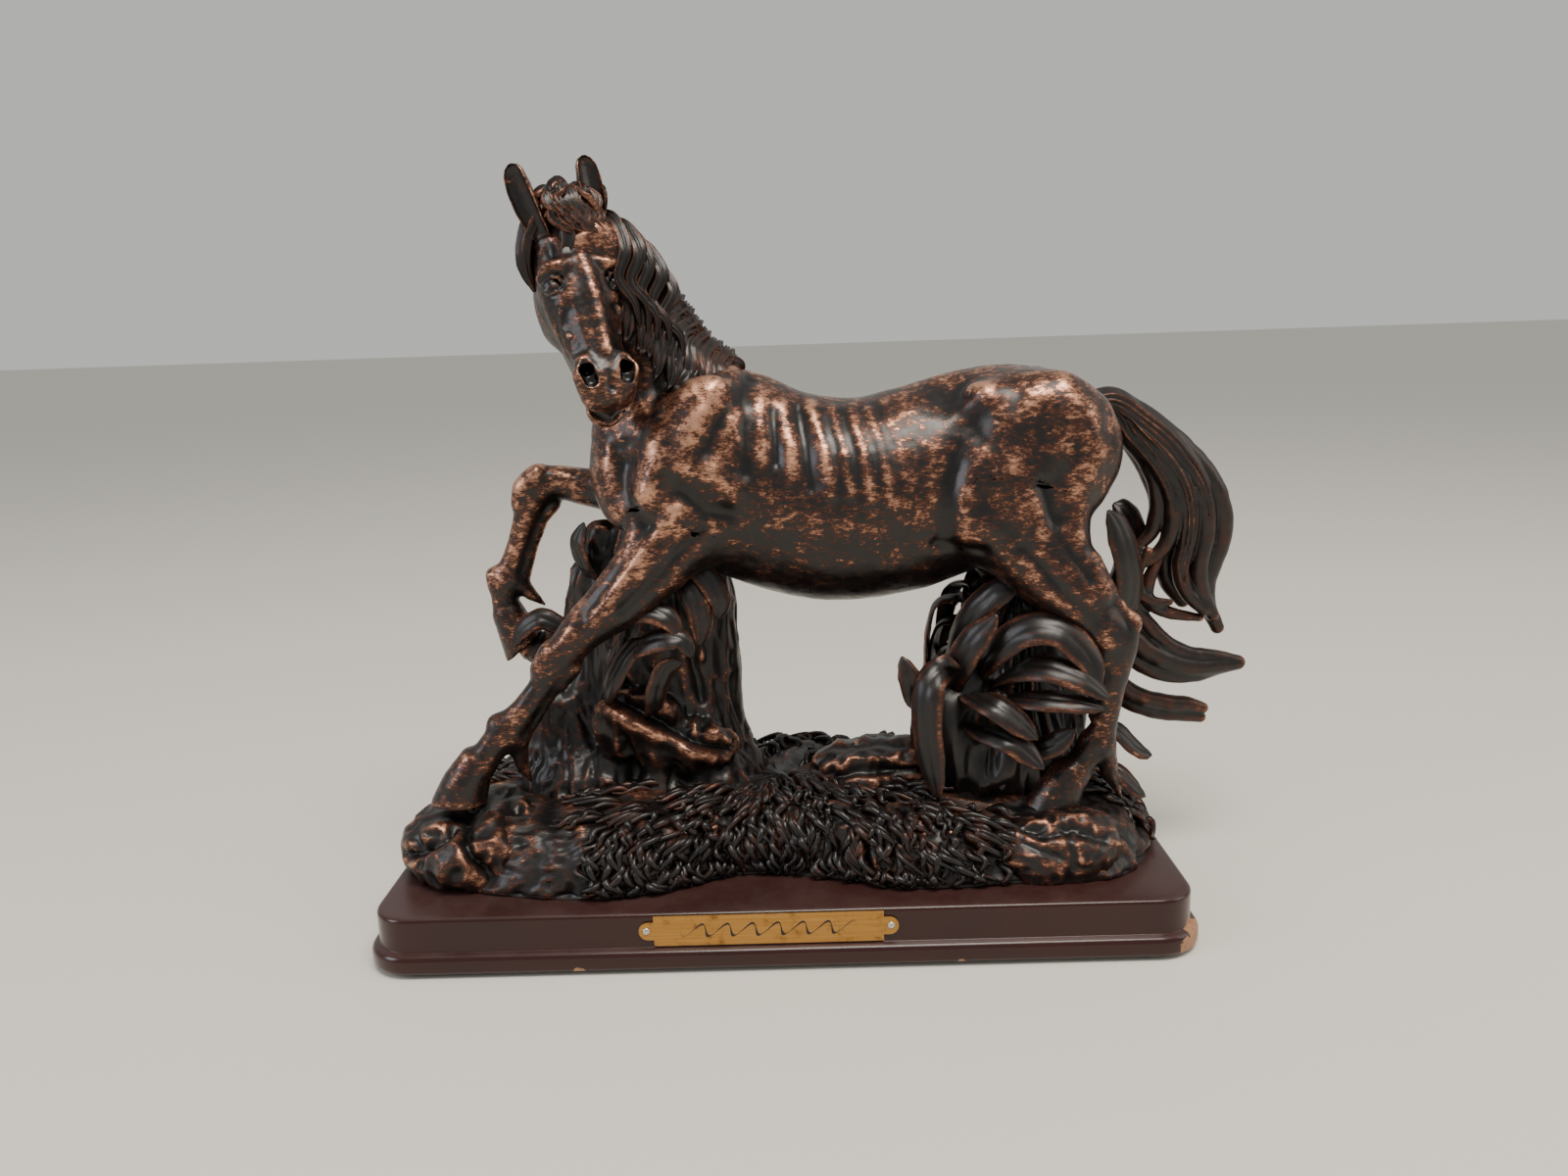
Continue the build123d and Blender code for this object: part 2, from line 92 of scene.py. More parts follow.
class Clay:
    """A lattice of distances, in mm, that forms are pressed together on."""

    def __init__(self, low, high, pitch):
        self.low = np.asarray(low, float)
        self.pitch = pitch
        self.axes = [np.arange(a, b + pitch, pitch, dtype=np.float32) for a, b in zip(low, high)]
        shape = [len(a) for a in self.axes]
        self.field = np.full(shape, FAR, np.float32)
        self.near = np.full(shape, FAR, np.float32)
        self.owner = np.zeros(shape, np.int8)

    def window(self, low, high):
        """The part of the lattice inside a box, and its coordinates as three broadcasting arrays."""
        cut = tuple(
            slice(max(np.searchsorted(a, l) - 1, 0), np.searchsorted(a, h) + 1)
            for a, l, h in zip(self.axes, low, high)
        )
        grids = [
            a[c].reshape([-1 if i == j else 1 for j in range(3)])
            for i, (a, c) in enumerate(zip(self.axes, cut))
        ]
        return cut, grids

    def press(self, cut, distance, k, carve=False, owner=0):
        """Joins a form: min(a, b) - h^2 k / 4 with h = max(k - |a - b|, 0) / k. Carving takes -a."""
        here = self.field[cut]
        sign = -1.0 if carve else 1.0
        a, b = sign * here, distance
        h = np.maximum(k - np.abs(a - b), 0.0) / k
        self.field[cut] = sign * (np.minimum(a, b) - h * h * k * 0.25)
        if owner:
            closer = distance < self.near[cut]
            self.owner[cut] = np.where(closer, owner, self.owner[cut])
            self.near[cut] = np.minimum(self.near[cut], distance)

    def limb(self, stations, side=(0, 1, 0), k=4.0, spans=3, owner=0, cap=0.55, cuts=()):
        """A form through ellipses at (x, y, z, half depth, half width), square to the path.

        With u, v, w the point's offset from the axis over the ellipse's half sizes, the distance is close to
        q (q - 1) / |(u, v, w) / sizes|, q = |(u, v, w)|. Each (point, normal) in cuts slices the end flat.
        """
        rows = spline(stations, spans)
        centre, half = rows[:, :3], np.maximum(rows[:, 3:5], 0.4)
        reach = half.max(axis=1, keepdims=True) + k + 3 * self.pitch
        cut, (x, y, z) = self.window((centre - reach).min(0), (centre + reach).max(0))
        total = np.full(self.field[cut].shape, FAR, np.float32)
        for i in range(len(rows) - 1):
            a, b = centre[i], centre[i + 1]
            low = np.minimum(a - reach[i], b - reach[i + 1])
            high = np.maximum(a + reach[i], b + reach[i + 1])
            inner, (px, py, pz) = self.window(low, high)
            sub = tuple(slice(s.start - c.start, s.stop - c.start) for s, c in zip(inner, cut))
            along = unit(b - a)
            across = unit(np.cross(side, along))
            wide = np.cross(along, across)
            dx, dy, dz = px - a[0], py - a[1], pz - a[2]
            run = dx * along[0] + dy * along[1] + dz * along[2]
            length = float(np.linalg.norm(b - a))
            t = np.clip(run / length, 0, 1)
            depth = half[i, 0] + (half[i + 1, 0] - half[i, 0]) * t
            width = half[i, 1] + (half[i + 1, 1] - half[i, 1]) * t
            tip = cap * np.minimum(depth, width)
            u = (dx * across[0] + dy * across[1] + dz * across[2]) / depth
            v = (dx * wide[0] + dy * wide[1] + dz * wide[2]) / width
            w = (run - t * length) / tip
            q = np.sqrt(u * u + v * v + w * w)
            steep = np.sqrt((u / depth) ** 2 + (v / width) ** 2 + (w / tip) ** 2)
            distance = q * (q - 1) / np.maximum(steep, 1e-4)
            total[sub] = np.minimum(total[sub], distance)
        for point, normal in cuts:
            n = unit(normal)
            plane = (x - point[0]) * n[0] + (y - point[1]) * n[1] + (z - point[2]) * n[2]
            total = np.maximum(total, plane.astype(np.float32))
        self.press(cut, total, k, owner=owner)

    def stroke(self, points, k=2.0, carve=False, owner=0):
        """A round, tapering roll of clay through (x, y, z, radius), or the groove that it would leave."""
        rows = np.asarray(points, float)
        if len(rows) == 1:
            rows = np.vstack([rows, rows + [0, 0, 0.01, 0]])
        reach = rows[:, 3:].max() + k + 2 * self.pitch
        cut, (x, y, z) = self.window((rows[:, :3] - reach).min(0), (rows[:, :3] + reach).max(0))
        total = np.full(self.field[cut].shape, FAR, np.float32)
        for a, b in zip(rows[:-1], rows[1:]):
            step = b[:3] - a[:3]
            run = ((x - a[0]) * step[0] + (y - a[1]) * step[1] + (z - a[2]) * step[2]) / (step @ step)
            t = np.clip(run, 0, 1)
            gap = (
                x - a[0] - t * step[0]
            ) ** 2 + (y - a[1] - t * step[1]) ** 2 + (z - a[2] - t * step[2]) ** 2
            total = np.minimum(total, np.sqrt(gap) - (a[3] + (b[3] - a[3]) * t))
        self.press(cut, total, k, carve, owner)

    def blob(self, centre, radii, k=3.0, carve=False, lean=None, owner=0):
        """An ellipsoid, its own axes given by the rows of lean where they aren't the lattice's."""
        radii = np.asarray(radii, float)
        turn = np.eye(3) if lean is None else np.asarray(lean, float)
        reach = radii.max() + k + 2 * self.pitch
        centre = np.asarray(centre, float)
        cut, (x, y, z) = self.window(centre - reach, centre + reach)
        d = (x - centre[0], y - centre[1], z - centre[2])
        u, v, w = ((r[0] * d[0] + r[1] * d[1] + r[2] * d[2]) / size for r, size in zip(turn, radii))
        q = np.sqrt(u * u + v * v + w * w)
        steep = np.sqrt((u / radii[0]) ** 2 + (v / radii[1]) ** 2 + (w / radii[2]) ** 2)
        self.press(cut, (q * (q - 1) / np.maximum(steep, 1e-4)).astype(np.float32), k, carve, owner)

    def soften(self, rounds):
        """Each round averages every point with its neighbours as (1, 2, 1) / 4 along the three axes."""
        for _ in range(rounds):
            for axis in range(3):
                f = np.moveaxis(self.field, axis, 0)
                f[1:-1] = 0.25 * f[:-2] + 0.5 * f[1:-1] + 0.25 * f[2:]

    def surface(self):
        """Points in mm and faces, four corners each, of the surface where the distance is zero."""
        grid = openvdb.FloatGrid(BAND)
        grid.copyFromArray(np.clip(self.field, -BAND, BAND))
        grid.transform = openvdb.createLinearTransform(voxelSize=self.pitch)
        points, quads = grid.convertToQuads(isovalue=0.0)
        return points.astype(float) + self.low, quads.astype(np.int64)


# %% [markdown]
# ## Surfaces: normals, relief, and where the copper was rubbed
#
# Fine forms such as ribs and tendons are under a millimetre high. They could be pressed into the clay too,
# but they would need a far finer lattice. Instead the finished skin is pushed in or out along its own
# normals near a drawn line. The same arrays also tell how proud each point stands of its surroundings, and
# that number is kept on the mesh as "wear_and_shade". It decides where a rubbed-on paste stays, and also
# how much darker the paint is painted in hollows, which is painted shade.

# %% Mesh arrays
def corner_normals(points, faces):
    """Unit normals at the points: the sum of the normals of the faces round each, by their diagonals."""
    a, b, c, d = (points[faces[:, i]] for i in (0, 1, 2, 3 if faces.shape[1] == 4 else 0))
    n = np.cross(c - a, d - b) if faces.shape[1] == 4 else np.cross(b - a, c - a)
    total = np.zeros_like(points)
    for corner in range(faces.shape[1]):
        for axis in range(3):
            total[:, axis] += np.bincount(faces[:, corner], n[:, axis], len(points))
    return unit(total)


def averaged(values, faces, rounds):
    """Values at the points, each round replaced by half itself and half the mean of its face neighbours."""
    values = np.asarray(values, float)
    after = np.roll(faces, -1, axis=1).ravel()
    before = faces.ravel()
    count = np.maximum(
        np.bincount(before, minlength=len(values)) + np.bincount(after, minlength=len(values)), 1
    )
    columns = values.reshape(len(values), -1).copy()
    for _ in range(rounds):
        for i in range(columns.shape[1]):
            v = columns[:, i]
            total = np.bincount(before, v[after], len(v)) + np.bincount(after, v[before], len(v))
            columns[:, i] = 0.5 * v + 0.5 * total / count
    return columns.reshape(values.shape)


def proudness(points, faces, fine=3, broad=24):
    """How far each point stands out of its smoothed self, near to and over a wider area, about -1 to 1."""
    normal = corner_normals(points, faces)
    near = averaged(points, faces, fine)
    far = averaged(near, faces, broad)
    close = ((points - near) * normal).sum(1)
    wide = ((near - far) * normal).sum(1)
    close = np.clip(close / (np.std(close) * 3 + 1e-9), -1, 1)
    wide = np.clip(wide / (np.std(wide) * 2.5 + 1e-9), -1, 1)
    return close * 0.45 + wide * 0.75


def noise(points, size, seed):
    """Smooth noise from -1 to 1: random values at corners of cubes of `size` mm, mixed by 3t^2 - 2t^3."""
    table = np.random.default_rng(seed).uniform(-1, 1, (32, 32, 32))
    cell = np.asarray(points) / size
    base = np.floor(cell).astype(int)
    t = cell - base
    t = t * t * (3 - 2 * t)
    total = np.zeros(len(points))
    for corner in np.ndindex(2, 2, 2):
        share = np.where(corner, t, 1 - t).prod(axis=1)
        i, j, k = ((base + corner) % 32).T
        total += share * table[i, j, k]
    return total


def line_distance(points, path):
    """Distance from points to a polyline, in as many dimensions as the path has."""
    path = np.asarray(path, float)
    best = np.full(len(points), 1e9)
    for a, b in zip(path[:-1], path[1:]):
        step = b - a
        t = np.clip(((points - a) @ step) / (step @ step), 0, 1)
        best = np.minimum(best, np.linalg.norm(points - a - t[:, None] * step, axis=1))
    return best


def tube_faces(rings, around):
    """Quads of a closed tube of points, ring after ring, and triangles to the two end points after them."""
    i, j = np.meshgrid(np.arange(rings - 1), np.arange(around), indexing="ij")
    beside = (j + 1) % around
    quads = np.stack(
        [i * around + j, i * around + beside, (i + 1) * around + beside, (i + 1) * around + j], -1
    )
    j = np.arange(around)
    beside = (j + 1) % around
    last, centre = (rings - 1) * around, np.full(around, rings * around)
    caps = np.concatenate(
        [np.stack([beside, j, centre], 1), np.stack([last + j, last + beside, centre + 1], 1)]
    )
    return quads.reshape(-1, 4), caps


def build_mesh(name, points, faces, extra=None):
    """A mesh object from points in mm and arrays of quads (and, as extra, triangles)."""
    mesh = bpy.data.meshes.new(name)
    groups = [np.asarray(f, np.int64) for f in (faces, extra) if f is not None and len(f)]
    loops = np.concatenate([g.ravel() for g in groups])
    sizes = np.concatenate([np.full(len(g), g.shape[1]) for g in groups])
    mesh.vertices.add(len(points))
    mesh.vertices.foreach_set("co", (np.asarray(points) * MM).astype(np.float32).ravel())
    mesh.loops.add(len(loops))
    mesh.loops.foreach_set("vertex_index", loops.astype(np.int32))
    mesh.polygons.add(len(sizes))
    mesh.polygons.foreach_set("loop_start", np.concatenate([[0], np.cumsum(sizes)[:-1]]).astype(np.int32))
    mesh.polygons.foreach_set("use_smooth", np.full(len(sizes), True))
    mesh.update(calc_edges=True)
    mesh.validate()
    obj = bpy.data.objects.new(name, mesh)
    bpy.context.scene.collection.objects.link(obj)
    return obj


def give_values(obj, name, values):
    """Keeps one number for each point on the mesh, for the material to read."""
    obj.data.attributes.new(name, "FLOAT", "POINT").data.foreach_set("value", np.asarray(values, np.float32))


def finish_piece(obj, material, stands_for=()):
    """Gives a piece its material and its place on the part's body, and hides the CAD nodes it stands for."""
    obj.data.materials.append(material)
    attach(obj, "root")
    if stands_for:
        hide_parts(*stands_for)
    print(f"{obj.name}: {len(obj.data.vertices)} points, {len(obj.data.polygons)} faces")
    return obj


def wear_and_shade_piece(name, points, faces, wear_and_shade, material, stands_for=(), extra=None):
    """A finished piece from arrays, with how much wear and painted shade each point has."""
    obj = build_mesh(name, points, faces, extra)
    give_values(obj, "wear_and_shade", wear_and_shade)
    return finish_piece(obj, material, stands_for=stands_for)

# %% [markdown]
# ## The rubbed finish
#
# On the real cast there are three layers: nearly black paint, copper paste wiped over it with a cloth so
# that it stays on ridges and as streaks on the broad flanks, and a thin satin varnish that gives the soft
# white lights. A plain bronze would look like bare metal; it is the broken edge between paint and paste
# that makes the eye read "antiqued". So one mask, from the mesh's own "wear_and_shade" value plus blotches
# and brushed streaks, mixes a varnished dark paint with metallic copper. The same value also makes the
# dark paint darker in hollows, and that darkening is painted shade.

# %% Materials: helpers and the bronze
def colour(code):
    """sRGB hex to linear RGBA: c / 12.92 up to 0.04045, else ((c + 0.055) / 1.055) ^ 2.4."""
    parts = [int(code[i : i + 2], 16) / 255 for i in (1, 3, 5)]
    return [c / 12.92 if c <= 0.04045 else ((c + 0.055) / 1.055) ** 2.4 for c in parts] + [1.0]


def feed(tree, node, inputs):
    """Gives a node its inputs. Each is a constant or the output that it is linked from."""
    for key, value in inputs.items():
        if isinstance(value, bpy.types.NodeSocket):
            tree.links.new(value, node.inputs[key])
        else:
            node.inputs[key].default_value = value


def add(tree, kind, inputs=None, **settings):
    """A node of this kind with its settings and inputs."""
    made = tree.nodes.new(kind)
    for key, value in settings.items():
        setattr(made, key, value)
    feed(tree, made, inputs or {})
    return made


def bumped(tree, height, strength, distance):
    """The normal tilted by a height from 0 to 1 that stands for `distance` metres."""
    inputs = {"Strength": strength, "Distance": distance, "Height": height}
    return add(tree, "ShaderNodeBump", inputs).outputs["Normal"]


def blank_material(name):
    """A material, its tree, its shader and the Object coordinates that its patterns are laid out in."""
    material = bpy.data.materials.new(name)
    material.use_nodes = True
    tree = material.node_tree
    shader = next(n for n in tree.nodes if n.type == "BSDF_PRINCIPLED")
    return material, tree, shader, add(tree, "ShaderNodeTexCoord").outputs["Object"]


def per_mm(size):
    """Texture scale that makes a pattern `size` mm across in Object coordinates, which are in metres."""
    return 1000.0 / size


def texture(tree, where, size, detail=4.0, rough=0.6, stretch=None):
    """Noise from 0 to 1 with features `size` mm across, drawn out where stretch is below 1."""
    if stretch:
        where = add(tree, "ShaderNodeMapping", {"Vector": where, "Scale": stretch}).outputs["Vector"]
    return add(
        tree, "ShaderNodeTexNoise",
        {"Vector": where, "Scale": per_mm(size), "Detail": detail, "Roughness": rough}
    ).outputs["Fac"]


def maths(tree, operation, a, b=0.0, c=0.0):
    """One arithmetic step."""
    return add(tree, "ShaderNodeMath", {0: a, 1: b, 2: c}, operation=operation).outputs[0]


def ramp(tree, value, low, high, out_low=0.0, out_high=1.0):
    """value from low..high to out_low..out_high along a smooth S."""
    settings = {"Value": value, "From Min": low, "From Max": high, "To Min": out_low, "To Max": out_high}
    return add(tree, "ShaderNodeMapRange", settings, interpolation_type="SMOOTHSTEP").outputs["Result"]


def mixed(tree, share, first, second):
    """Colour mixed from first to second by share."""
    made = add(tree, "ShaderNodeMix", {0: share, 6: first, 7: second}, data_type="RGBA")
    return made.outputs[2]


def bronze(name, rub=0.0, streaks=1.0, gloss=0.3, grain=0.35):
    """Dark patina with rubbed copper, its paint painted darker in hollows as painted shade. rub raises the
    whole mask, streaks the brushed part of it.
    """
    material, tree, shader, where = blank_material(name)
    wear_and_shade = add(tree, "ShaderNodeAttribute", attribute_name="wear_and_shade").outputs["Fac"]
    blotch = texture(tree, where, 7.5, 6.0, 0.68)
    swept = texture(tree, where, 1.9, 6.0, 0.72, stretch=(0.6, 0.85, 1.15))
    scratch = texture(tree, where, 0.5, 4.0, 0.65, stretch=(0.3, 0.6, 1.2))
    mask = maths(tree, "MULTIPLY_ADD", wear_and_shade, 0.5, rub)
    mask = maths(tree, "MULTIPLY_ADD", maths(tree, "SUBTRACT", blotch, 0.5), 1.7 * streaks, mask)
    mask = maths(tree, "MULTIPLY_ADD", maths(tree, "SUBTRACT", swept, 0.5), 2.1 * streaks, mask)
    mask = maths(tree, "MULTIPLY_ADD", maths(tree, "SUBTRACT", scratch, 0.5), 1.3 * streaks, mask)
    copper = ramp(tree, mask, -0.06, 0.5)
    bright = ramp(tree, mask, 0.2, 0.9)
    rubbed = mixed(tree, bright, colour("#553022"), colour("#c7967b"))
    # painted shade: the dark paint is #15100f on proud places and #060404 in hollows
    dark = mixed(tree, ramp(tree, wear_and_shade, -0.7, 0.5), colour("#060404"), colour("#15100f"))
    tree.links.new(mixed(tree, copper, dark, rubbed), shader.inputs["Base Color"])
    tree.links.new(maths(tree, "MULTIPLY", copper, 0.85), shader.inputs["Metallic"])
    tree.links.new(ramp(tree, blotch, 0.3, 0.7, gloss, gloss + 0.14), shader.inputs["Roughness"])
    feed(tree, shader, {"Coat Weight": 0.12, "Specular IOR Level": 0.38, "Coat Roughness": 0.22})
    height = maths(tree, "MULTIPLY_ADD", copper, 0.5, texture(tree, where, grain, 3.0, 0.6))
    feed(tree, shader, {"Normal": bumped(tree, height, 0.35, 0.00012)})
    return material


skin_bronze = bronze("rubbed bronze, broad forms", rub=0.03, gloss=0.25)
hair_bronze = bronze("rubbed bronze, hair", rub=-0.16, streaks=0.35, gloss=0.3)
leaf_bronze = bronze("rubbed bronze, leaves", rub=-0.14, streaks=0.45)
rock_bronze = bronze("rubbed bronze, stone", rub=-0.13, streaks=0.7, gloss=0.34, grain=0.6)
grass_bronze = bronze("rubbed bronze, grass", rub=-0.1, streaks=0.4, gloss=0.3)

# %% [markdown]
# ## The horse's mass
#
# The barrel, neck and legs are one continuous skin on the cast, so they are pressed into one block of clay.
# Every limb is given by the ellipses a modeller would measure with callipers: where the axis runs, how deep
# and how wide the form is there. Muscle masses are laid on as ellipsoids, and the whole is softened a little
# before the small bones are added, in the order in which a modeller works.

# %% The horse: barrel, neck and legs in clay
GROUPS = ["body", "neck", "planted_foreleg", "raised_foreleg", "left_hind_leg", "right_hind_leg"]
trunk = [
    (-52, 0, 140, 10, 10), (-47, 0, 141, 17, 15), (-38, 0, 143, 24, 20), (-27, 0, 142.5, 28, 22.5),
    (-14, 0, 141, 31.5, 23.5), (0, 0, 134.8, 31.8, 24.5), (18, 0, 130.4, 32.3, 27), (35, 0, 131, 32, 27.5),
    (51, 0, 135.3, 31.5, 25), (66, 0, 140.5, 30, 23.5), (79, 0, 143.5, 28.0, 24.5), (90, 0, 145, 23.5, 24),
    (98, 0, 146.5, 18.5, 19),
]
neck = [
    (-27, 0, 146, 22, 17), (-33, 0, 161, 21, 13.5), (-39, -1, 177, 18.5, 11),
    (-46, -4, 193, 17, 9.5), (-51, -8.5, 205, 14, 8.5), (-55, -12, 213, 10, 7.5),
]
planted_foreleg = [
    (-23, -12, 132, 15, 8.5), (-35, -18, 117, 12, 8.4), (-48, -20.5, 104, 9, 7.2),
    (-60, -22, 94.5, 6.6, 6.0),
    (-67.5, -22.5, 85, 5.2, 5.0), (-73, -22.7, 78, 4.2, 4.0), (-79, -23, 70.5, 4.3, 4.1),
    (-84.5, -23.5, 64.5, 5.7, 5.2),
    (-90, -24, 58.5, 4.7, 4.6), (-94.5, -24.3, 53, 5.4, 5.2),
]
planted_hoof = [(-94.5, -24.3, 55, 5.6, 5.6), (-98.5, -24.8, 48, 7.2, 6.9), (-101.5, -25, 40, 8.8, 8)]
raised_foreleg = [
    (-34, 14, 135, 13, 8), (-49, 17, 133.5, 8.8, 7.2), (-62, 18, 134.5, 6.4, 5.8),
    (-71, 18, 136.3, 5.9, 5.6),
    (-78.5, 18, 134.5, 6.6, 6.0), (-82.5, 18, 126, 4.8, 4.8), (-85.5, 18, 117.5, 4.1, 4.0),
    (-88.7, 18, 109.5, 4.3, 4.2), (-91.2, 18, 103.5, 5.6, 5.1), (-92.7, 18, 96.5, 4.6, 4.5),
    (-91.5, 18, 91, 5.2, 5.0),
]
raised_hoof = [(-92, 18, 92.5, 5.4, 5.4), (-89.2, 18, 86, 6.8, 6.6), (-86, 18, 79, 8.2, 7.6)]
left_hind_leg = [
    (68, -8, 144, 16, 12), (74, -14, 129, 19, 12.5), (82, -19.5, 115.5, 15.5, 10.5),
    (90.5, -22.5, 104, 11, 8.8),
    (97.5, -23.8, 95.5, 7.6, 6.4), (103.5, -24, 87.5, 6.6, 5.2), (103.6, -24, 78, 4.9, 4.4),
    (102.6, -24, 68, 3.8, 3.8),
    (101, -24, 60, 4.0, 3.9), (98.8, -24, 55, 5.3, 4.9), (95, -24.4, 49.5, 4.5, 4.4),
    (91.2, -24.8, 44.5, 5.4, 5.2),
]
left_hind_hoof = [(91.5, -24.8, 46.5, 5.6, 5.6), (87.6, -25.2, 40, 7.4, 7.0), (84.5, -25.5, 33, 9.0, 8.0)]
right_hind_leg = [
    (71, 6, 144, 16, 12), (73.5, 14, 127, 18.5, 12), (76.5, 19, 112.5, 14, 10), (81.5, 21, 99.5, 9.5, 8),
    (87.5, 22, 89, 6.8, 5.6), (88, 22, 80, 4.9, 4.4), (85.8, 22, 70, 3.8, 3.8), (82.6, 22, 61, 4.0, 3.9),
    (79.6, 22, 55, 5.3, 4.9), (76, 22, 49.5, 4.5, 4.4), (72, 22, 44.5, 5.4, 5.2),
]
right_hind_hoof = [(72.4, 22, 46.5, 5.6, 5.6), (68.5, 22, 40, 7.4, 7.0), (65.4, 22, 33, 9.0, 8.0)]

pitch = 0.7
clay = Clay((-114, -42, 28), (116, 40, 222), pitch)
clay.limb(trunk, k=6, owner=1, cap=0.5)
clay.limb(neck, k=8, owner=2, cap=0.3)
clay.limb(planted_foreleg, k=9, owner=3)
clay.limb(raised_foreleg, k=9, owner=4)
clay.limb(left_hind_leg, k=9, owner=5)
clay.limb(right_hind_leg, k=9, owner=6)
for mirror in (-1, 1):
    tilt = unit([[0.42, 0, 0.9], [0, 1, 0], [-0.9, 0, 0.42]])
    clay.blob((-24, mirror * 17, 149), (21, 7.5, 12), k=9, lean=tilt, owner=1)  # shoulder
    clay.blob((-45, mirror * 9, 137), (9, 8, 12), k=5, owner=1)  # breast
    clay.blob((84, mirror * 14.5, 146), (21, 10.5, 22), k=10, owner=1)  # haunch
    clay.blob((64, mirror * 17.5, 161), (5, 3.5, 5), k=7, owner=1)  # point of the hip
    clay.blob((-26, mirror * 17, 128), (9, 6, 9), k=6, owner=1)  # above the elbow
clay.blob((-14, 0, 163), (12, 5, 5), k=6, owner=1)  # withers
clay.blob((63, -21, 128), (8, 5, 12), k=6, owner=5)  # stifle
clay.blob((66, 19, 126), (8, 5, 12), k=6, owner=6)
clay.soften(3 if pitch < 0.8 else 1)
clay.limb(planted_hoof, k=1.6, owner=3, cuts=[((-101, -25, 41.2), (-0.08, 0, -1))])
clay.limb(raised_hoof, k=1.6, owner=4, cuts=[((-86.5, 18, 80.5), (0.62, 0, -0.78))])
clay.limb(left_hind_hoof, k=1.6, owner=5, cuts=[((84, -25, 34.6), (0, 0, -1))])
clay.limb(right_hind_hoof, k=1.6, owner=6, cuts=[((65, 22, 34.6), (0, 0, -1))])

# %% [markdown]
# ### Bones and tufts
#
# Below the forearm and thigh there is no muscle, only bone and tendon, and that is what makes a leg look
# like a horse's and not like a table's: the box of the knee, the cap of the hock with its sharp point
# behind, the round fetlock, and the separate cord of the tendon behind the cannon bone. The tuft of hair
# behind each fetlock ends in a point.

# %% Joints, tendons and fetlock tufts
def tuft(root, tip, owner, width=3.4):
    """Hair behind a fetlock: a roll that droops from root to a pointed tip."""
    root, tip = np.asarray(root, float), np.asarray(tip, float)
    middle = root * 0.45 + tip * 0.55 + unit(tip - root)[[2, 1, 0]] * (1.2, 0, 0.4)
    clay.stroke([(*root, width), (*middle, width * 0.7), (*tip, 0.5)], k=2.5, owner=owner)


y = -22.5  # the planted foreleg
clay.stroke([(-69.5, y - 2, 89, 3.4), (-72.5, y - 1, 84, 3.2)], k=3, owner=3)  # knee, front
clay.stroke([(-69.5, y + 3, 88.5, 3.0), (-73, y + 2, 83, 2.8)], k=3, owner=3)
clay.stroke([(-63, y, 83, 2.6), (-67, y, 78, 2.0)], k=2.5, owner=3)  # bone behind the knee
clay.stroke([(-67.5, y, 79, 1.7), (-75, y, 68, 1.7), (-80.5, y, 61.5, 2.2)], k=1.6, owner=3)  # tendon
clay.stroke([(-88, y - 1.5, 67, 2.6), (-86.5, y + 2, 66.5, 2.6)], k=2.5, owner=3)  # fetlock
clay.stroke([(-78, 15.5, 140, 3.0), (-83, 15.8, 135, 3.2), (-84.5, 16, 130, 2.6)], k=3, owner=4)
clay.stroke([(-78, 20.5, 139.5, 2.8), (-83, 20.4, 134.5, 3.0)], k=3, owner=4)
clay.stroke(
    [(-73.5, 18, 129, 2.4), (-77.5, 18, 124.5, 2.0), (-81.5, 18, 115, 1.7), (-85, 18, 106, 2.2)], k=1.8,
    owner=4
)
clay.stroke([(-95.6, 18, 105.5, 2.8), (-95.3, 18, 102, 2.6)], k=2.5, owner=4)
for (x, y, group) in ((0, -24, 5), (-15.5, 22, 6)):
    # hock
    clay.stroke(
        [(109.5 + x, y, 93.5, 2.4), (107.8 + x, y, 85, 2.8), (106 + x, y, 76, 1.8)], k=2.2, owner=group
    )
    clay.stroke([(98.5 + x, y - 2, 88.5, 3.6), (100 + x, y - 1.5, 83, 3.0)], k=3, owner=group)
    clay.stroke([(99.5 + x, y + 3, 87, 3.2), (100.5 + x, y + 2.4, 82, 2.6)], k=3, owner=group)
    # Achilles
    clay.stroke([(96 + x, y, 112, 3.5), (103 + x, y, 101, 2.3), (109 + x, y, 93, 2.0)], k=2.5, owner=group)
clay.stroke([(106, -24, 76, 1.7), (104.8, -24, 67, 1.6), (102.5, -24, 58, 2.2)], k=1.6, owner=5)
clay.stroke([(90.8, 22, 76, 1.7), (88.5, 22, 68, 1.6), (84, 22, 59, 2.2)], k=1.6, owner=6)
tuft((-82, -22.5, 61), (-79.5, -19, 45), 3)
tuft((-87.5, 18, 103), (-79, 18, 94.5), 4, 3.0)
tuft((101.5, -23.5, 54), (108.5, -21, 34.5), 5, 3.8)
tuft((82.5, 22, 54), (88, 23.5, 35), 6, 3.6)

skin, skin_faces = clay.surface()
centres = np.rint((skin[skin_faces].mean(1) - clay.low) / pitch).astype(int)
owner = clay.owner[tuple(np.minimum(centres, np.array(clay.owner.shape) - 1).T)]
print("skin:", len(skin), "points;", [int((owner == i).sum()) for i in range(7)], "faces by group")

# %% [markdown]
# ### Relief on the skin
#
# Seen from the side, a thin-coated horse shows its ribs, the ridge of the shoulder blade, the hollow in
# front of the hip and the long edge down the front of the thigh. Each is one line drawn on the side view,
# with how wide and how high it is. The skin near the line moves along its own normal by height * exp(-(d /
# width)^2), so it doesn't matter exactly how deep the line lies. Both sides get the trunk's lines, each leg
# its own.

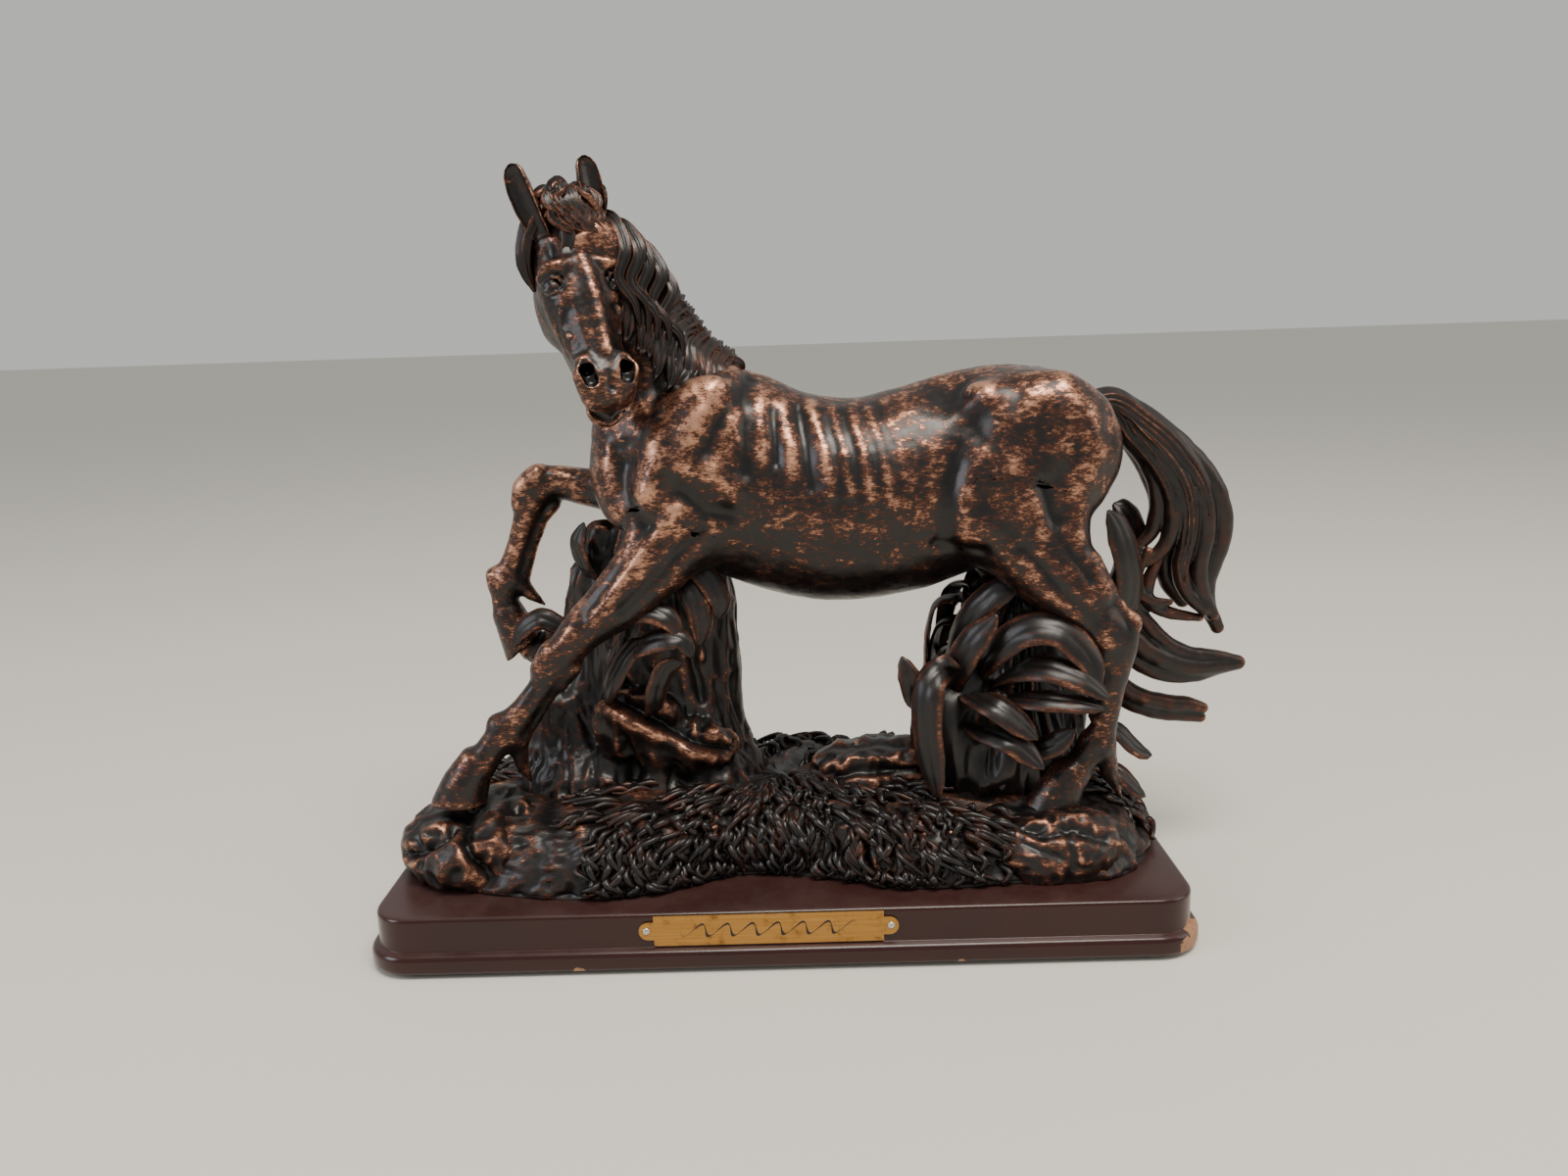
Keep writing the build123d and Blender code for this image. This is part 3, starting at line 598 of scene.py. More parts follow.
# %% Ribs, shoulder, hip and thigh
RIDGES = [  # path on the side view (x, z), width, height
    ([(-2.5, 164), (-1.5, 154), (-2, 146)], 2.3, 0.4), ([(4.6, 161), (6.2, 151), (6.3, 141)], 2.4, 0.7),
    ([(13, 161), (16.5, 149), (18.6, 136)], 2.2, 0.9), ([(19.4, 159), (22.3, 148), (24, 136)], 2.0, 0.75),
    ([(25, 159), (28.2, 147), (30.2, 134)], 2.1, 0.8), ([(30.6, 159), (34, 147), (36, 133)], 2.1, 0.6),
    ([(36, 159), (39.5, 148), (41, 138)], 2.1, 0.4),
    ([(-11, 172), (-18, 163), (-23.5, 155), (-25.5, 146)], 3.6, 1.3),
    ([(-30, 164), (-20, 169), (-12, 170.5)], 3.4, 1.3),
    ([(-16.5, 142), (-11, 137)], 4.0, 2.0), ([(-45, 130), (-37, 137)], 4.5, 1.6),
    ([(-38, 160), (-33, 148), (-36, 138)], 4.5, 1.2),
    ([(67, 161), (67.5, 156), (64.5, 149), (60.5, 143), (57.5, 133), (57, 121)], 3.8, 0.95),
    ([(88, 166), (94, 158), (96.5, 145), (92, 134), (93, 122)], 3.8, 1.3),
    ([(86.5, 122), (93, 113), (100, 104)], 3.0, 1.3),
    ([(80, 162), (88, 157)], 6.0, 1.3), ([(70, 140), (76, 128)], 6.5, 1.0),
    ([(10, 113), (30, 110), (45, 114)], 6.0, 0.6),
]
HOLLOWS = [
    ([(53, 163), (58, 162.5), (62, 158), (63, 152)], 5.6, 2.1),
    ([(56.5, 147), (54, 137), (53, 123)], 3.2, 1.1),
    ([(50, 119), (56, 118), (63, 116.5)], 2.2, 1.2), ([(80.5, 136), (86, 122), (95, 109)], 2.6, 1.5),
    ([(-6.5, 163), (-6, 151), (-7, 143)], 2.6, 1.1), ([(-4.5, 170), (-13, 160), (-18.5, 150)], 3.0, 1.2),
    ([(1.5, 160), (2.5, 145)], 1.6, 0.7), ([(9.3, 160), (11, 150), (12.5, 138)], 2.0, 1.0),
    ([(-28, 171), (-37, 158), (-43, 146)], 3.6, 1.5), ([(-26, 138), (-19, 131), (-13, 130)], 3.0, 1.4),
    ([(83, 156), (79, 147), (84, 138)], 5.0, 1.0), ([(-46, 150), (-44, 138), (-38, 128)], 2.6, 1.0),
]
LEG_LINES = {
    -1: [
        ([(-28, 132), (-40.5, 118), (-53.5, 101)], 2.8, 1.2),
        ([(-21, 126), (-32, 115), (-46, 102)], 2.2, -1.1),
        ([(-36, 127), (-48, 112), (-58, 101)], 2.0, -0.7), ([(-62, 96), (-66, 91)], 2.4, 0.8),
        ([(64, 124), (76, 110), (90, 98)], 4.0, 0.9),
        ([(75, 118), (86, 105), (97, 95)], 2.0, -0.9), ([(99, 94), (101, 88)], 2.6, 0.9),
    ],
    1: [
        ([(-40, 137), (-55, 136.5), (-70, 138)], 2.4, 0.9),
        ([(-40, 131), (-56, 131.5), (-68, 133)], 2.0, -0.7),
        ([(66, 120), (74, 108), (84, 94)], 3.5, 0.9), ([(74, 118), (80, 106), (86, 95)], 2.0, -0.9),
    ],
}


def relief(points, normals, lines, side, flip=1.0):
    """Points facing one side, moved out by height * exp(-(d / width)^2) for each line seen from there."""
    facing = np.clip(normals[:, 1] * side * 2.5, 0, 1) * (points[:, 1] * side > 1)
    lift = np.zeros(len(points))
    flat = points[:, [0, 2]]
    for path, width, height in lines:
        lift += flip * height * np.exp(-((line_distance(flat, path) / width) ** 2))
    return points + normals * (lift * facing)[:, None]


skin_normals = corner_normals(skin, skin_faces)
for side in (-1, 1):
    skin = relief(skin, skin_normals, RIDGES, side)
    skin = relief(skin, skin_normals, HOLLOWS, side, flip=-1.0)
    skin = relief(skin, skin_normals, LEG_LINES[side], side)
front = np.clip(-skin_normals[:, 0] * 2, 0, 1) * (np.abs(skin[:, 1]) < 16)
crease = np.exp(-((line_distance(skin[:, 1:], [(0, 126), (0, 152)]) / 2.4) ** 2))
skin = skin - skin_normals * (1.6 * crease * front)[:, None]
skin += skin_normals * (0.22 * noise(skin, 7.0, 3) + 0.08 * noise(skin, 2.2, 4))[:, None]
skin = averaged(skin, skin_faces, 1)
skin_normals = corner_normals(skin, skin_faces)
skin_wear_light_and_shade = proudness(skin, skin_faces, 5, 60)
upper = np.clip((skin[:, 2] - 78) / 50, 0, 1)  # the legs get less copper and darker paint than the trunk
skin_wear_light_and_shade = skin_wear_light_and_shade * (0.55 + 0.45 * upper) - 0.3 * (1 - upper)
shoulder = np.exp(-((skin[:, 0] + 27) / 26) ** 2 - ((skin[:, 2] - 150) / 26) ** 2)
haunch = np.exp(-((skin[:, 0] - 84) / 18) ** 2 - ((skin[:, 2] - 150) / 26) ** 2)
# painted light and shade: skin facing up gets more copper, skin facing down less copper and darker paint
skin_wear_light_and_shade += 0.3 * shoulder + 0.15 * haunch + 0.25 * np.clip(skin_normals[:, 2], 0, 1) - 0.45 * np.clip(
    -skin_normals[:, 2], 0, 1
)


def split_piece(name, group, stands_for):
    """One region of the shared skin as its own mesh, capped at its cuts, with the whole skin's normals."""
    faces = skin_faces[owner == group]
    used, inverse = np.unique(faces, return_inverse=True)
    obj = build_mesh(name, skin[used], inverse.reshape(faces.shape))
    open_mesh = bmesh.new()
    open_mesh.from_mesh(obj.data)
    bmesh.ops.holes_fill(open_mesh, edges=open_mesh.edges[:], sides=0)
    open_mesh.to_mesh(obj.data)
    open_mesh.free()
    give_values(obj, "wear_and_shade", skin_wear_light_and_shade[used])
    obj.data.normals_split_custom_set_from_vertices(skin_normals[used].tolist())
    return finish_piece(obj, skin_bronze, stands_for=stands_for)


for index, group in enumerate(GROUPS, 1):
    split_piece("horse_" + group, index, [group])

# %% [markdown]
# ## The head
#
# The head is the part that is looked at first, and it is turned towards the viewer. It is pressed in its own
# clay, in the head's own directions (out of the face, down the face, to the horse's left), so that the two
# sides are the same strokes mirrored. The order is a modeller's: skull and long nose, the two flat discs of
# the jaw, muzzle and lips, then the sockets, lids, nostrils and the slit of the mouth.

# %% Head in clay
POLL = np.array([-54.8, -15.0, 216.6])
FACE = unit([0.344, -0.812, 0.470])
LEFT = unit([0.909, 0.4145, 0.0508])
HEAD_LENGTH = 0.955  # the strokes' lengths down the face, as a share of the numbers below
ALONG = np.cross(LEFT, FACE)
to_world = np.array([FACE, ALONG, LEFT])
head = Clay((-36, -14, -17), (8, 66, 17), 0.34)
skull = [
    (-10, -3, 0, 7, 7), (-9.5, 3, 0, 8, 10), (-9, 10, 0, 8.3, 11.6), (-8.8, 16, 0, 8.2, 12.0),
    (-8.6, 22, 0, 7.8, 10.9),
    (-8.2, 29, 0, 6.8, 8.6), (-8.4, 36, 0, 6.0, 7.1), (-8.8, 43, 0, 5.9, 7.0), (-8.8, 49, 0, 6.4, 8.4),
    (-9.2, 53, 0, 5.8, 7.7), (-9.6, 55.5, 0, 4.6, 6.2),
]
head.limb(skull, side=(0, 0, 1), k=3, cap=0.6)
for s in (-1, 1):
    head.blob((-18.2, 16.5, s * 6.6), (11.5, 13, 5.4), k=4)  # jaw disc
    head.stroke([(-24, 24, s * 4.2, 3.8), (-18.5, 36, s * 3.4, 3.4), (-15.5, 47, s * 2.6, 3.0)], k=4)
    head.blob((-12, 30, s * 4.2), (6, 14, 4.2), k=4)  # cheek
    # nostril wing
    head.stroke([(-5.8, 44.5, s * 5.6, 2.8), (-5.4, 48.5, s * 6.3, 3.6), (-6.6, 52, s * 5.6, 3.2)], k=2.2)
    head.blob((-11, -2, s * 8.0), (4.5, 4.5, 3.5), k=3)  # root of the ear
head.blob((-9.4, 55.2, 0), (5.0, 3.6, 7.2), k=2.4)  # upper lip
head.blob((-16.0, 55.6, 0), (3.5, 5.7, 5.5), k=2.6)  # chin and lower lip
head.stroke([(-14, 6, 0, 9), (-20, 2, 0, 8)], k=4)
head.soften(1)
# nasal bone
head.stroke([(-1.3, 12, 0.3, 1.2), (-1.0, 20, 0.8, 1.0), (-1.7, 32, 1.1, 0.8), (-2.6, 42, 1.3, 0.8)], k=3.8)
for s in (-1, 1):
    head.blob((-4.4, 7.5, s * 9.2), (2.2, 4, 2.4), k=3, carve=True)  # hollow of the temple
    head.blob((-2.4, 18.8, s * 10.0), (3.0, 3.5, 3.7), k=1.8, carve=True)  # eye socket
    head.stroke(
        [
            (-1.7, 13.0, s * 4.4, 1.2), (-1.3, 13.8, s * 7.2, 1.8), (-2.6, 13.8, s * 10.2, 1.9),
            (-5.6, 15.6, s * 12.4, 1.2)
        ],
        k=2.6
    )
    head.stroke([(-5.9, 18.8, s * 9.2, 2.7)], k=0.4)  # eyeball
    lid = [
        (-3.6, 19.8, s * 6.2, 0.5), (-2.5, 17.2, s * 7.8, 0.55), (-3.2, 16.6, s * 10.2, 0.55),
        (-5.8, 17.8, s * 12.2, 0.4)
    ]
    head.stroke(lid, k=0.7)
    lid = [
        (-3.6, 19.8, s * 6.2, 0.5), (-3.7, 21.3, s * 8.0, 0.4), (-4.6, 21.2, s * 10.2, 0.4),
        (-6.0, 19.4, s * 12.2, 0.4)
    ]
    head.stroke(lid, k=0.7)
    # facial crest
    head.stroke([(-10.6, 22, s * 9.4, 1.5), (-12, 29, s * 8.4, 1.3), (-12.6, 38, s * 6.6, 0.9)], k=2.2)
    head.stroke([(-3.4, 28, s * 8.0, 0.9), (-4.0, 40, s * 7.2, 0.8)], k=3.4, carve=True)
    head.stroke(
        [
            (-5.8, 27, s * 8.7, 0.4), (-8.5, 31, s * 8.7, 0.45), (-10.4, 36.5, s * 7.5, 0.4),
            (-8.2, 41, s * 7.4, 0.35)
        ],
        k=1.1
    )
    head.stroke([(-8.5, 31, s * 8.3, 0.5), (-6.6, 35, s * 7.6, 0.4)], k=0.9)
    head.stroke(
        [(-2.2, 45.4, s * 6.3, 1.3), (-1.9, 48.4, s * 6.3, 2.4), (-3.4, 51.2, s * 5.4, 2.0)], k=0.9,
        carve=True
    )
    # depth of the nostril
    head.stroke([(-2.0, 48, s * 6.3, 2.1), (-8.0, 46.5, s * 4.8, 1.5)], k=0.6, carve=True)
    head.stroke(
        [
            (-14.0, 46.5, s * 7.6, 0.7), (-13.6, 52, s * 6.8, 1.4), (-13.0, 57, s * 4.6, 1.8),
            (-12.6, 61, 0, 1.9)
        ],
        k=0.7, carve=True
    )
    head.stroke([(-12.4, 45.5, s * 7.2, 0.5), (-15.5, 45, s * 6.2, 0.6)], k=0.8)
head.stroke([(-1.2, 50.5, 0, 0.9), (-3.4, 54.5, 0, 0.9)], k=2.2, carve=True)
head_points, head_faces = head.surface()
head_normals = corner_normals(head_points, head_faces)
head_points += head_normals * (
    0.12 * noise(head_points, 4.0, 8) + 0.05 * noise(head_points, 1.3, 9)
)[:, None]
head_world = POLL + head_points * [1, HEAD_LENGTH, 1] @ to_world
head_outward = head_faces[:, ::-1] if np.linalg.det(to_world) < 0 else head_faces
sockets = sum(np.exp(-(((head_points - [-4, 19, s * 9.4]) ** 2).sum(1) / 14)) for s in (-1, 1))
nostrils = sum(np.exp(-(((head_points - [-4, 48, s * 6.0]) ** 2).sum(1) / 9)) for s in (-1, 1))
nose = np.exp(
    -(((head_points[:, 2] - 1.2) / 1.6) ** 2)
) * (head_points[:, 0] > -4) * np.clip((head_points[:, 1] - 8) / 6, 0, 1)
# eye sockets and nostrils are pushed low: the copper stays out of them, and their paint is painted darker as
# painted shade
head_wear_and_shade = 0.85 * proudness(head_points, head_faces, 8, 90) - 0.9 * sockets - 0.8 * nostrils + 0.25 * nose
wear_and_shade_piece("horse_head", head_world, head_outward, head_wear_and_shade, skin_bronze, ["head"])

# %% [markdown]
# ## Ears, hair and leaves: bent blades
#
# An ear, a lock of hair, a leaf and a tuft of grass are all the same thing to the modeller: a tapering strip
# rolled between the fingers, pressed flat, bent along a path and scored lengthwise. One function makes the
# hair, the leaves and the grass; the ears have one of their own. Strips of real hair could be grown as
# particles, but a cast has no single hairs, only scored locks.

# %% One function for the bent blades of hair, leaves and grass
def blades(paths, face_out, width, thick, taper, ridges=0.0, score=0.0, cup=0.0, rib=0.0, steps=28, ring=14):
    """Closed tapering strips, all at once, from (n, k, 3) control points. face_out is (n, 3) or (n, k, 3).

    Across the strip, s = cos(a) runs from edge to edge and the skin lies at
    x = width s, y = thick sin(a) (1 + score cos(pi ridges s)) + width cup s^2 - rib exp(-(s / 0.16)^2),
    with x along tangent x face_out and y along face_out. taper gives pairs (share of length, of width).
    """
    paths = np.asarray(paths, float)
    n, k = paths.shape[:2]
    out = np.asarray(face_out, float)
    out = np.repeat(out[:, None], k, 1) if out.ndim == 2 else out
    per_span = max(int(np.ceil(steps / (k - 1))), 2)
    line = spline(paths.transpose(1, 0, 2), per_span).transpose(1, 0, 2)
    facing = spline(out.transpose(1, 0, 2), per_span).transpose(1, 0, 2)
    tangent = unit(np.gradient(line, axis=1))
    wide = unit(np.cross(tangent, facing))
    normal = np.cross(wide, tangent)
    m = line.shape[1]
    u = np.linspace(0, 1, m)
    share = np.interp(u, *np.asarray(taper, float).T)[None, :, None]
    a = np.arange(ring) / ring * 2 * np.pi
    s, lift = np.cos(a), np.sin(a)
    per = [
        np.broadcast_to(np.asarray(q, float), n)[:, None, None] for q in (
            width, thick, ridges, score, cup, rib
        )
    ]
    w, t, ridge_count, depth, bend, groove = per
    x = w * share * s
    y = t * np.sqrt(share) * lift * (1 + depth * np.cos(np.pi * ridge_count * s))
    y = y + w * share * bend * s**2 - groove * share * np.exp(-((s / 0.16) ** 2)) * (lift > 0)
    skin_points = line[:, :, None] + x[..., None] * wide[:, :, None] + y[..., None] * normal[:, :, None]
    points = np.concatenate([skin_points.reshape(n, -1, 3), line[:, :1], line[:, -1:]], axis=1)
    tube, ends = tube_faces(m, ring)
    shift = (np.arange(n) * (m * ring + 2))[:, None, None]
    quads = (tube[None] + shift).reshape(-1, 4)
    tris = (ends[None] + shift).reshape(-1, 3)
    edge = np.clip(np.abs(np.cos(a)) * 1.6 - 0.7, 0, 1) + 1.7 * depth * np.cos(np.pi * ridge_count * s)
    wear_and_shade = np.broadcast_to(edge + 0 * x, x.shape).reshape(n, -1)
    wear_and_shade = np.concatenate([wear_and_shade, wear_and_shade[:, :1], wear_and_shade[:, -1:]], axis=1).ravel()
    return points.reshape(-1, 3), quads, tris, wear_and_shade


def joined(parts):
    """Several (points, quads, tris, worn) as one."""
    starts = np.cumsum([0] + [len(p[0]) for p in parts[:-1]])
    quads = np.concatenate([p[1] + s for p, s in zip(parts, starts)])
    tris = np.concatenate([p[2] + s for p, s in zip(parts, starts)])
    return np.concatenate([p[0] for p in parts]), quads, tris, np.concatenate([p[3] for p in parts])


def blade_piece(name, parts, material, stands_for=(), wobble=0.15):
    """One object from several sets of blades, roughened a little as cast resin is."""
    points, quads, tris, wear_and_shade = joined(parts)
    points = points + wobble * np.stack([noise(points, 2.5, i) for i in (21, 22, 23)], 1)
    wear_and_shade = np.clip(wear_and_shade + 0.35 * noise(points, 6.0, 24), -1, 1)
    return wear_and_shade_piece(name, points, quads, wear_and_shade, material, stands_for, extra=tris)

# %% [markdown]
# ### Ears
#
# A horse's ear is a rolled leaf: a convex back and a deep hollow in front, with a thin rim all the way to
# the point. It is one blade whose cross-section is folded, so that the front skin runs parallel to the back
# one.

# %% Ears
def ear(base, tip, open_to, width=4.4):
    """One ear. Round its section x = w cos(a); behind, y = -d |sin(a)|, and in front that less the wall."""
    steps, ring = 26, 28
    u = np.linspace(0, 1, steps)[:, None]
    axis = unit(np.asarray(tip, float) - base)
    front = unit(np.asarray(open_to, float) - axis * np.dot(open_to, axis))
    wide = np.cross(axis, front)
    share = np.interp(u, [0, 0.15, 0.42, 0.7, 0.88, 0.97, 1], [0.62, 0.84, 1.04, 1.0, 0.8, 0.5, 0.12])
    a = np.arange(ring) / ring * 2 * np.pi
    back = np.where(np.sin(a) < 0, 1.0, 0.62 + 0.3 * (1 - u) ** 4)
    x = width * share * np.cos(a) * (1 - 0.12 * np.sin(np.pi * u))
    y = -0.95 * width * share * np.abs(np.sin(a)) * back + 1.1 * np.sin(np.pi * u) * (1 - share)
    curve = 1.3 * np.sin(np.pi * u) - 1.0 * u**2
    line = np.asarray(base) + (np.asarray(tip, float) - base) * u + front * curve
    points = line[:, None] + x[..., None] * wide + y[..., None] * front
    quads, tris = tube_faces(steps, ring)
    points = np.concatenate([points.reshape(-1, 3), points[0].mean(0)[None], points[-1].mean(0)[None]])
    # the hollow in front is set low, so it gets no copper and painted shade on its paint; the back and rim
    # get copper
    wear_and_shade = np.where(np.sin(a) > 0.2, -0.25, 0.4) + 0.6 * np.exp(-((np.sin(a) / 0.25) ** 2)) + 0 * u
    wear_and_shade = np.concatenate([wear_and_shade.ravel(), [-0.5, 0.6]])
    return points, quads, tris, wear_and_shade


ears = [
    ear((-64.2, -15.5, 212), (-72.3, -17.5, 232.6), (-0.55, -0.8, 0.1), 4.7),
    ear((-48.6, -10.5, 213), (-50.2, -13.0, 235.2), (0.75, -0.66, 0.0), 4.5),
]
blade_piece("horse_ears", ears, skin_bronze, stands_for=["ears"], wobble=0.08)

# %% [markdown]
# ### Mane and forelock
#
# The mane is not fur but carved locks: each leaves the crest of the neck, rises a little, falls over the
# side and ends in a curl, and each is scored lengthwise three or four times. They are set along the crest
# with seeded differences in length and bend, long near the ears and short at the withers, on both sides. A
# row of short curls steps down the crest.

# %% Mane
rng = np.random.default_rng(7)
LOCK_TAPER = [(0, 0.55), (0.12, 0.85), (0.4, 1.0), (0.75, 0.72), (0.93, 0.32), (1, 0.05)]
CREST = [
    (-57, -10, 219), (-50, -5, 217), (-44, -1.5, 211), (-37.4, 0, 204.2), (-31.4, 0, 196.4),
    (-25.9, 0, 188.2), (-20, 0, 180), (-12.5, 0, 174)
]


def locks(paths, facing, width, thick, ridges=3.5, steps=36, ring=26):
    """Scored locks of hair along the paths."""
    return blades(paths, facing, width, thick, LOCK_TAPER, ridges, 0.5, steps=steps, ring=ring)


def mane_locks(count, side, length_top, length_low, lift, start, stop):
    """Locks from the crest falling to one side (-1 left, 1 right), laid just over the neck's own ellipse."""
    crest = spline(CREST, 12)
    at = np.clip(
        np.linspace(start, stop, count) + rng.uniform(-0.012, 0.012, count), 0, 1
    ) * (len(crest) - 1)
    low = np.floor(at).astype(int).clip(0, len(crest) - 2)
    part = (at - low)[:, None]
    root = crest[low] * (1 - part) + crest[low + 1] * part
    run = unit(crest[low + 1] - crest[low])
    down = unit(np.cross(run, [0, 1, 0]))
    down = down * np.where(down[:, 2:] > 0, -1, 1)
    u = np.linspace(start, stop, count)[:, None]
    length = (length_top + (length_low - length_top) * u) * rng.uniform(0.85, 1.15, (count, 1))
    half = 8.0 + 8.0 * u
    depth = 16 + 8 * u

    def over(d, out):
        """A point d below the crest, `out` mm off the neck's side there."""
        wide = half * np.sqrt(np.clip(1 - (1 - np.clip(d, 0, None) / depth) ** 2, 0.0, 1))
        return root + down * d + np.array([0, side, 0]) * (wide + out)

    phase = rng.uniform(-1.1, 1.1, (count, 1)) + 5.0 * u
    swing = rng.uniform(0.9, 1.9, (count, 1))
    sweep = (5 + 7 * u) * rng.uniform(0.8, 1.25, (count, 1))
    stops = ((0.16, 1.7), (0.36, 2.2), (0.56, 1.5), (0.74, 1.9), (0.9, 1.6), (1.0, 2.8))
    fall = [
        over(length * t, out) + run * (sweep * t**1.5 + swing * np.sin(phase + 6.0 * t)) for t, out in stops
    ]
    points = np.stack([root + down * 2.5, root - down * lift + [0, side * 1.0, 0], *fall], axis=1)
    flat = np.array([0, side, 0]) - down * 0.5
    out = np.stack([run * -0.2 - down] * 2 + [flat] * 2 + [np.array([0, side, 0]) + run * 0] * 4, axis=1)
    return points, unit(out)


mane_parts = []
for side in (-1, 1):
    for count, top, low, lift, start, stop, width in (
        (20, 23, 13, 0.6, 0.05, 0.97, 3.0), (20, 18, 12, 1.8, 0.02, 1.0, 2.7),
        (14, 13, 12, 2.8, 0.05, 0.98, 2.5)
    ):
        extra = 1.08 if side > 0 else 1.0
        paths, out = mane_locks(count, side, top * extra, low * extra, lift, start, stop)
        widths = width * rng.uniform(0.8, 1.2, count)
        mane_parts.append(locks(paths, out, widths, 2.0, steps=30, ring=18))
cheek_side = [  # locks seen behind the cheek and the right ear
    [(-58, -8, 220), (-64, -10, 221), (-69, -12, 214), (-70.5, -12, 205), (-68, -12, 197)],
    [(-60, -6, 218), (-66, -7, 216), (-70, -8, 208), (-68, -8, 199), (-64, -7, 194)],
    [(-57, -4, 219), (-63, -3, 219), (-67, -3, 211), (-65, -3, 202), (-60, -2, 196)],
]
mane_parts.append(locks(cheek_side, [(-0.6, -0.8, 0.1)] * 3, [3.2, 3.4, 3.2], 2.1))
near_cheek = np.array([  # long locks on the near side, beside the cheek
    [
        (-47, -5, 219), (-43.5, -9, 216), (-41.5, -13, 208), (-42, -14.5, 200), (-39.5, -14.5, 193),
        (-36.5, -14.5, 186)
    ],
    [
        (-45, -4, 217), (-40, -8, 214), (-37.5, -12, 207), (-38.5, -13.5, 199), (-35.5, -13.5, 192),
        (-34.5, -14.5, 183)
    ],
    [
        (-43, -3, 216), (-38, -7, 211.5), (-35, -10.5, 204), (-36, -12.5, 196), (-33, -13.5, 189),
        (-32, -14, 182)
    ],
    [
        (-41, -2, 213), (-34.5, -6, 208), (-31.5, -9.5, 201), (-33, -11.5, 193), (-30, -13, 187),
        (-28, -13.5, 180)
    ],
    [
        (-38, -1, 209), (-31.5, -5, 203), (-28.5, -8.5, 196), (-30, -11, 189), (-26.5, -12.5, 183),
        (-24, -13, 177)
    ],
])
near_cheek[:, 2::2, 0] += 0.8
near_cheek[:, 3::2, 0] -= 0.8
mane_parts.append(locks(near_cheek, [(0.35, -0.9, 0.1)] * 5, [2.7, 2.9, 2.8, 2.7, 2.5], 2.1))
crest = spline(CREST, 12)
at = (np.linspace(0.42, 0.97, 10) * (len(crest) - 2)).astype(int)
run = unit(crest[at + 1] - crest[at])
down = np.cross(run, [0, 1, 0])
down = unit(down * np.where(down[:, 2:] > 0, -1, 1))
for side in (-1, 1):  # short curls that step down the crest and end past its outline
    stops = ((-3.5, 5.5, 5.0), (0.0, 2.2, 4.8), (3.5, -0.6, 3.2), (6.5, -1.6, 1.8), (8.5, -0.9, 1.0))
    curls = [crest[at] + run * back + down * low + [0, side * out, 0] for back, low, out in stops]
    facing = unit(np.array([0, side, 0]) - down * 0.7)
    mane_parts.append(locks(np.stack(curls, 1), facing, 2.5, 2.0, steps=24, ring=20))
core = np.array([CREST]) - [0, 0, 2.5]
CORE_TAPER = [(0, 0.5), (0.2, 1), (0.85, 0.8), (1, 0.2)]
mane_parts.append(blades(core, [(0, -1, 0)], 6.0, 4.2, CORE_TAPER, steps=40, ring=20))
blade_piece("horse_mane", mane_parts, hair_bronze, stands_for=["mane"])

# %% Forelock
fore = []
for i in range(15):
    spread = (i - 7) / 7
    across = 5.6 * spread + rng.uniform(-0.8, 0.8)
    reach = 5.5 - 2.0 * abs(spread) + rng.uniform(-1.0, 1.2)
    curl = rng.uniform(1.8, 3.4) * (-1 if i % 2 else 1)
    local = np.array([
        (-6, -9, across * 0.5), (1.4, -9.5, across * 0.7 - curl * 0.4),
        (4.2 - abs(spread), -5.0, across + curl * 0.8),
        (3.4 - 1.6 * abs(spread), -0.5, across + 1.5 - curl * 0.5),
        (2.4 - 1.8 * abs(spread), reach * 0.6, across + 3.0 + curl * 0.5),
        (2.0 - 1.8 * abs(spread), reach, across + 5.5),
    ])
    fore.append(POLL + local @ to_world)
crown = []
for i in range(22):
    turn = i / 22 * 2 * np.pi * 3
    sweep = np.array([np.cos(turn), np.sin(turn), 0])
    round_ = np.array([-np.sin(turn), np.cos(turn), 0]) * (1 if i % 2 else -1)
    low = np.array([-56.5, -8.5, 219]) + sweep * (1 + 2.2 * (i % 3))
    tall = rng.uniform(3.5, 9.5)
    crown.append([
        low, low + sweep * 0.5 + [0, 0, tall * 0.6], low + sweep * 1.5 + round_ * 1.8 + [0, 0, tall],
        low + sweep * 3.6 + round_ * 3.0 + [0, 0, tall * 0.75],
        low + sweep * 4.6 + round_ * 1.0 + [0, 0, tall * 0.25],
        low + sweep * 6.0 - round_ * 1.4 + [0, 0, tall * 0.1 - 2],
    ])
fore_parts = [
    locks(fore, np.repeat(FACE[None], 15, 0), rng.uniform(1.8, 2.5, 15), 1.4, 2.5, steps=30, ring=20),
    locks(crown, [(0, 0, 1)] * 22, rng.uniform(1.6, 2.4, 22), 1.4, 2.5, steps=30, ring=20),
]
blade_piece("horse_forelock", fore_parts, hair_bronze, stands_for=["forelock"])

# %% [markdown]
# ### Tail
#
# The tail leaves the croup as one rope, then opens into long S-shaped strands that end bluntly. On the cast
# the strands never part from each other: they are rolls of clay laid side by side, with a sharp valley
# between each two and two or three scored lines on each. So here each strand is a roll pressed in clay, and
# the scores are relief lines that run along it. The three masses are the three pieces that the tail is cast
# as.

